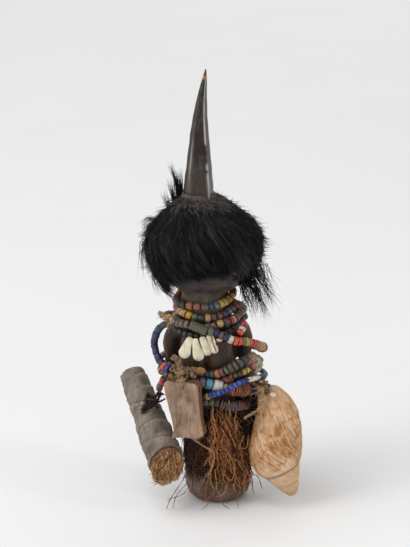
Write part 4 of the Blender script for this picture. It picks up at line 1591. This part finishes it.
form = bmesh.new()
form.from_mesh(coil_of_shell("body_whorl", LIP - 1, LIP, 210, 56, True))
form.from_mesh(coil_of_shell("spire", LIP - 4.6, LIP - 1, 240, 10, False))
bmesh.ops.solidify(form, geom=form.verts[:] + form.edges[:] + form.faces[:], thickness=1.1)
form.from_mesh(ball((0.8, 0, 6), (5, 5, 4.6)))
shell = settle(form, "coiled_shell", tidy=False)
apex, tip = Vector((57.6, -25, 8.2)), Vector((35.2, -16, 100.6))
lean = Vector((0, 0, 1)).rotation_difference(tip - apex).to_matrix().to_4x4()
shell.transform(Matrix.Translation(apex) @ lean)


def shell_finish():
    snail = Finish("snail_shell", 0.5, 0.45)
    across = snail.maths("MULTIPLY", snail.mark("growth"), 76)
    upward = snail.mark("upward")
    spot = snail.add("CombineXYZ", {"X": across, "Y": snail.maths("MULTIPLY", upward, 7)}).outputs[0]
    streak = snail.add("TexNoise", {"Vector": spot, "Scale": 1, "Detail": 5, "Roughness": 0.7, "Distortion": 0.8}).outputs["Fac"]
    cloud = snail.blotches(15, detail=4)
    pale = snail.tones(cloud, (0.3, shade(202, 163, 124)), (0.52, shade(217, 183, 146)), (0.72, shade(232, 208, 176)))
    band = snail.tones(upward, (0.0, (0.3,) * 3 + (1,)), (0.26, (0.36,) * 3 + (1,)), (0.42, (1.0,) * 3 + (1,)),
                       (0.66, (0.95,) * 3 + (1,)), (0.88, (0.4,) * 3 + (1,)))
    stains = snail.span(snail.blotches(9, detail=6, rough=0.65, twist=1.2), 0, 0.9, 0.46, 0.62)
    colour = snail.mix(snail.maths("MULTIPLY", snail.maths("ADD", stains, 0.42), band), pale, shade(174, 115, 52))
    lines = snail.maths("MULTIPLY", snail.span(streak, 0, 0.9, 0.5, 0.6), snail.maths("ADD", stains, 0.45))
    colour = snail.mix(snail.maths("MULTIPLY", lines, band), colour, shade(134, 84, 48))
    colour = snail.mix(snail.span(streak, 0.55, 0, 0.34, 0.46), colour, shade(236, 214, 186))
    greyed = snail.span(snail.blotches(6, detail=5, twist=0.6), 0, 0.5, 0.56, 0.68)
    colour = snail.mix(greyed, colour, shade(176, 158, 138))
    colour = snail.mix(snail.maths("MULTIPLY", snail.mark("seam"), 0.8), colour, shade(92, 62, 42))
    specks = snail.span(snail.blotches(1.3, (1, 1, 1), detail=4, rough=0.7), 0, 0.85, 0.62, 0.7)
    snail.set("Base Color", snail.mix(snail.maths("MULTIPLY", specks, band), colour, shade(98, 76, 56)))
    snail.set("Roughness", snail.span(cloud, 0.42, 0.6, 0.3, 0.7))
    snail.raise_by(streak, 0.35, 0.7)
    snail.raise_by(snail.blotches(3, detail=5), 0.5, 0.4)
    return snail.material


hand_over(shell, shell_finish(), "snail_shell")

# %% [markdown]
# ## The fibre skirt
#
# The lower body is wrapped in a dark felt of bast and beaten bark, and a bundle of thin orange-brown roots
# hangs free in front of it. A felted skin close to the wood closes the view, and every fibre is a tube
# whose path wanders over a cylinder: its angle, height and distance each follow a small random walk.

# %% Lay the felt
skirt_rows = [[14, 27.4, 0], [26, 26.8, -0.8], [40, 26, -1.8], [60, 25.2, -2.8], [84, 24.6, -3.8]]


def on_skirt(angle, height, out):
    """Points round the lower body at so many millimetres off the skirt."""
    rows = between(skirt_rows, np.clip(height, 14, 84))
    radius = rows[..., 1] + out
    return np.stack([rows[..., 2] + radius * np.sin(angle), -radius * np.cos(angle), height], -1)


felt, ring, angle = round_form("skirt_felt", [[z, 1, 1, 1] for z in np.linspace(20, 82, 46)], 150)
heights = np.linspace(20, 82, 46)[ring]
ragged = 5 * np.sin(angle * 3 + 1) + 3 * np.sin(angle * 8.3) + 2 * np.sin(angle * 21)
heights = heights + ragged * np.clip((44 - heights) / 24, 0, 1)
inside = np.hypot(*corners(felt)[:, :2].T) < 0.5
spots = on_skirt(angle, heights, -2.9)
spots[inside, :2] = 0
move_corners(felt, spots)
places = corners(felt)
push = 0.7 * swell(places * [1, 1, 0.6], 6, 61) + 0.5 * swell(places * [1, 1, 0.7], 2.2, 62)
move_corners(felt, places + np.where(inside, 0, push)[:, None] * np.stack([np.sin(angle), -np.cos(angle), 0 * angle], -1))
note(felt, "tint", np.tile(shade(34, 24, 21)[:3], (len(places), 1)))
bast = fibre_finish("bast", 90, 255, 0.8)
hand_over(felt, bast, "fibre_skirt")


# %% Hang the fibres
def wander(count, seed, start, top, low, drift, out, rings=11, fan=1.0):
    """Paths that hang over the skirt. Returns angles, heights and distances, which may still be changed."""
    chance = np.random.default_rng(seed)
    share = np.linspace(0, 1, rings)[None]
    begin = chance.normal(start[0], start[1], (count, 1)) if start[1] < 3 else chance.uniform(-math.pi, math.pi, (count, 1))
    walk = np.cumsum(chance.normal(0, drift, (count, rings)), axis=1)
    angles = begin * (1 + (fan - 1) * share) + walk - walk[:, :1]
    first, last = chance.uniform(*top, (count, 1)), chance.uniform(*low, (count, 1))
    heights = first + (last - first) * share + chance.normal(0, 0.5, (count, rings))
    near, far = chance.uniform(*out[0], (count, 1)), chance.uniform(*out[1], (count, 1))
    away = near + (far - near) * share + np.cumsum(chance.normal(0, 0.22, (count, rings)), axis=1)
    return angles, heights, np.maximum(away, -2)


def hang(name, walks, thick, hues, seed, sides=3, finish=bast):
    chance = np.random.default_rng(seed)
    paths = on_skirt(*walks)
    paths[:, :, 2] = np.maximum(paths[:, :, 2], 1)
    count, rings = paths.shape[:2]
    taper = np.interp(np.linspace(0, 1, rings), [0, 0.15, 0.7, 1], [0.8, 1, 0.85, 0.35])[None]
    radii = taper * chance.uniform(*thick, (count, 1)) * (1 + 0.2 * chance.normal(size=(count, rings)).clip(-1, 1.5))
    tints = np.array([shade(*h)[:3] for h in hues])[chance.integers(len(hues), size=count)]
    tints = tints * chance.uniform(0.7, 1.25, (count, 1))
    hand_over(lay_tubes(name, paths, radii, sides, tints), finish, "fibre_skirt")
    return paths


dark_hues = [(60, 42, 36), (82, 54, 44), (44, 31, 28), (122, 82, 64), (92, 70, 64)]
root_hues = [(176, 108, 62), (124, 74, 46), (206, 142, 88), (84, 52, 38), (184, 118, 70), (226, 170, 118)]
hang("bast_fibres", wander(900, 71, (0, 9), (46, 84), (16, 50), 0.06, ((-2.6, -0.8), (-2.4, -0.2)), 9), (0.26, 0.56), dark_hues, 71)
hang("bast_net", wander(380, 72, (0, 9), (26, 80), (24, 78), 0.15, ((-1.8, 0), (-1.8, 0.2)), 9), (0.18, 0.36), dark_hues, 72)
main = wander(90, 73, (0.34, 0.21), (58, 86), (4, 40), 0.06, ((-0.6, 1.6), (0.6, 4.2)), 16, 1.6)
root_paths = hang("front_roots", main, (0.36, 0.88), root_hues, 73, 5)
red_bast = wander(110, 77, (-0.42, 0.42), (22, 74), (12, 46), 0.15, ((-0.6, 1), (0, 1.6)), 9, 1.2)
hang("red_bast", red_bast, (0.16, 0.32), [(140, 92, 70), (108, 70, 56), (84, 60, 52)], 77)
twigs = wander(80, 74, (0.36, 0.36), (20, 80), (10, 60), 0.12, ((-0.5, 1.6), (0, 3)), 9, 1.2)
hang("fine_roots", twigs, (0.16, 0.34), root_hues, 74)
chance = np.random.default_rng(75)
mother = root_paths[chance.integers(90, size=90), chance.integers(4, 14, 90)]
share = np.linspace(0, 1, 8)[None, :, None]
sideways = chance.normal(0, 1, (90, 1, 3)) * [5, 1.2, 3] + [0, -0.6, -9]
forks = mother[:, None] + share * sideways + np.sin(share * math.pi) * chance.normal(0, 1.2, (90, 1, 3))
forks[:, :, 2] = np.maximum(forks[:, :, 2], 1)
fork_hues = np.array([shade(*h)[:3] for h in root_hues])[chance.integers(6, size=90)]
hand_over(lay_tubes("root_forks", forks, np.linspace(0.42, 0.14, 8)[None], 4, fork_hues), bast, "fibre_skirt")
for name, middle, size in (("hip_felt", (26.2, -10.5, 81.2), (6.6, 5.6, 10.4)), ("side_felt", (22.6, -8, 64), (7.2, 6, 25))):
    lump = ball(middle, size)
    lump.name = name
    press(lump, 0.9 * swell(corners(lump), 5, 76) + 0.4 * swell(corners(lump), 2, 77))
    note(lump, "tint", np.tile(shade(46, 34, 30)[:3], (len(lump.vertices), 1)))
    hand_over(lump, bast, "fibre_skirt")
hang("hip_bast", wander(150, 78, (1.32, 0.16), (60, 90), (34, 62), 0.05, ((2, 6.4), (2, 7)), 9), (0.24, 0.5), dark_hues, 78)
hip = chance.normal(0, 1, (150, 1, 3)) * [3.8, 3, 5.8] + [26, -15.6, 85.6]
turn = chance.uniform(0, 6.28, (150, 1)) + chance.uniform(1.5, 4.5, (150, 1)) * np.linspace(0, 1, 9)[None]
curls = hip + np.stack([np.cos(turn), 0.4 * np.sin(turn), np.sin(turn) * 1.3], -1) * chance.uniform(1.5, 6, (150, 1, 1))
tangle_hues = np.array([shade(*h)[:3] for h in ((60, 44, 36), (92, 70, 52), (40, 30, 27), (168, 132, 92))])[
    chance.choice(4, 150, p=[0.35, 0.25, 0.3, 0.1])]
hand_over(lay_tubes("hip_tangle", curls, np.linspace(0.62, 0.25, 9)[None], 4, tangle_hues), bast, "fibre_skirt")
knots = [([[-20.7, -32, 60.9], [-12, -32.6, 54.6], [-3.4, -31.6, 48.1], [-4.4, -31, 38], [-8, -30.4, 28]], 0.75, (196, 152, 112)),
         ([[-9, -29.6, 30], [-12.4, -29.8, 21.6], [-17, -29.6, 14]], 0.4, (170, 140, 120)),
         ([[-7, -31, 28], [-10, -30.6, 16], [-9.4, -29, 6], [-5, -29.6, 13]], 0.6, (164, 112, 72)),
         ([[9, -29.6, 79], [8.6, -30.4, 86], [8, -30.6, 92]], 0.8, (168, 132, 92)),
         ([[20, -25, 60], [17, -27.4, 51], [22, -26, 50], [24, -23.6, 60]], 0.6, (176, 124, 78)),
         ([[22, -25, 30], [25, -22.4, 22], [19, -26.6, 19], [22.6, -25, 27]], 0.6, (184, 116, 66)),
         ([[7, -31, 50], [13, -30.4, 34], [10, -30.8, 24], [4, -31.4, 30]], 0.55, (184, 132, 84)),
         ([[-26, -28, 27], [-32, -31, 18], [-38, -33, 9], [-41, -36, 2]], 0.3, (110, 84, 72)),
         ([[-24, -29, 22], [-33, -33, 12], [-36, -37, 3]], 0.26, (96, 72, 62)),
         ([[-22, -28, 20], [-28, -34, 14], [-40, -36, 10]], 0.24, (126, 96, 82)),
         ([[24, -20, 26], [31, -22, 24], [35, -24, 14]], 0.3, (110, 84, 72)),
         ([[25, -19, 33], [33, -21, 28], [37, -22, 22]], 0.26, (88, 66, 58)),
         ([[12, -27, 10], [15, -30, 5], [16, -34, 1.4]], 0.28, (120, 84, 60)),
         ([[2, -28, 8], [4, -31, 3.6], [9, -35, 1.4]], 0.26, (140, 100, 72)),
         ([[-7, -28, 8], [-8, -31, 4], [-13, -36, 1.4]], 0.26, (150, 106, 74))]
single = [spread_along(smooth_route(points), 24) for points, _, _ in knots]
bump = 1 + 0.25 * np.sin(np.linspace(0, 19, 24))[None] * np.ones((len(knots), 1))
hand_over(lay_tubes("single_roots", single, np.array([k[1] for k in knots])[:, None] * bump, 6,
                    np.array([shade(*k[2])[:3] for k in knots])), bast, "fibre_skirt")
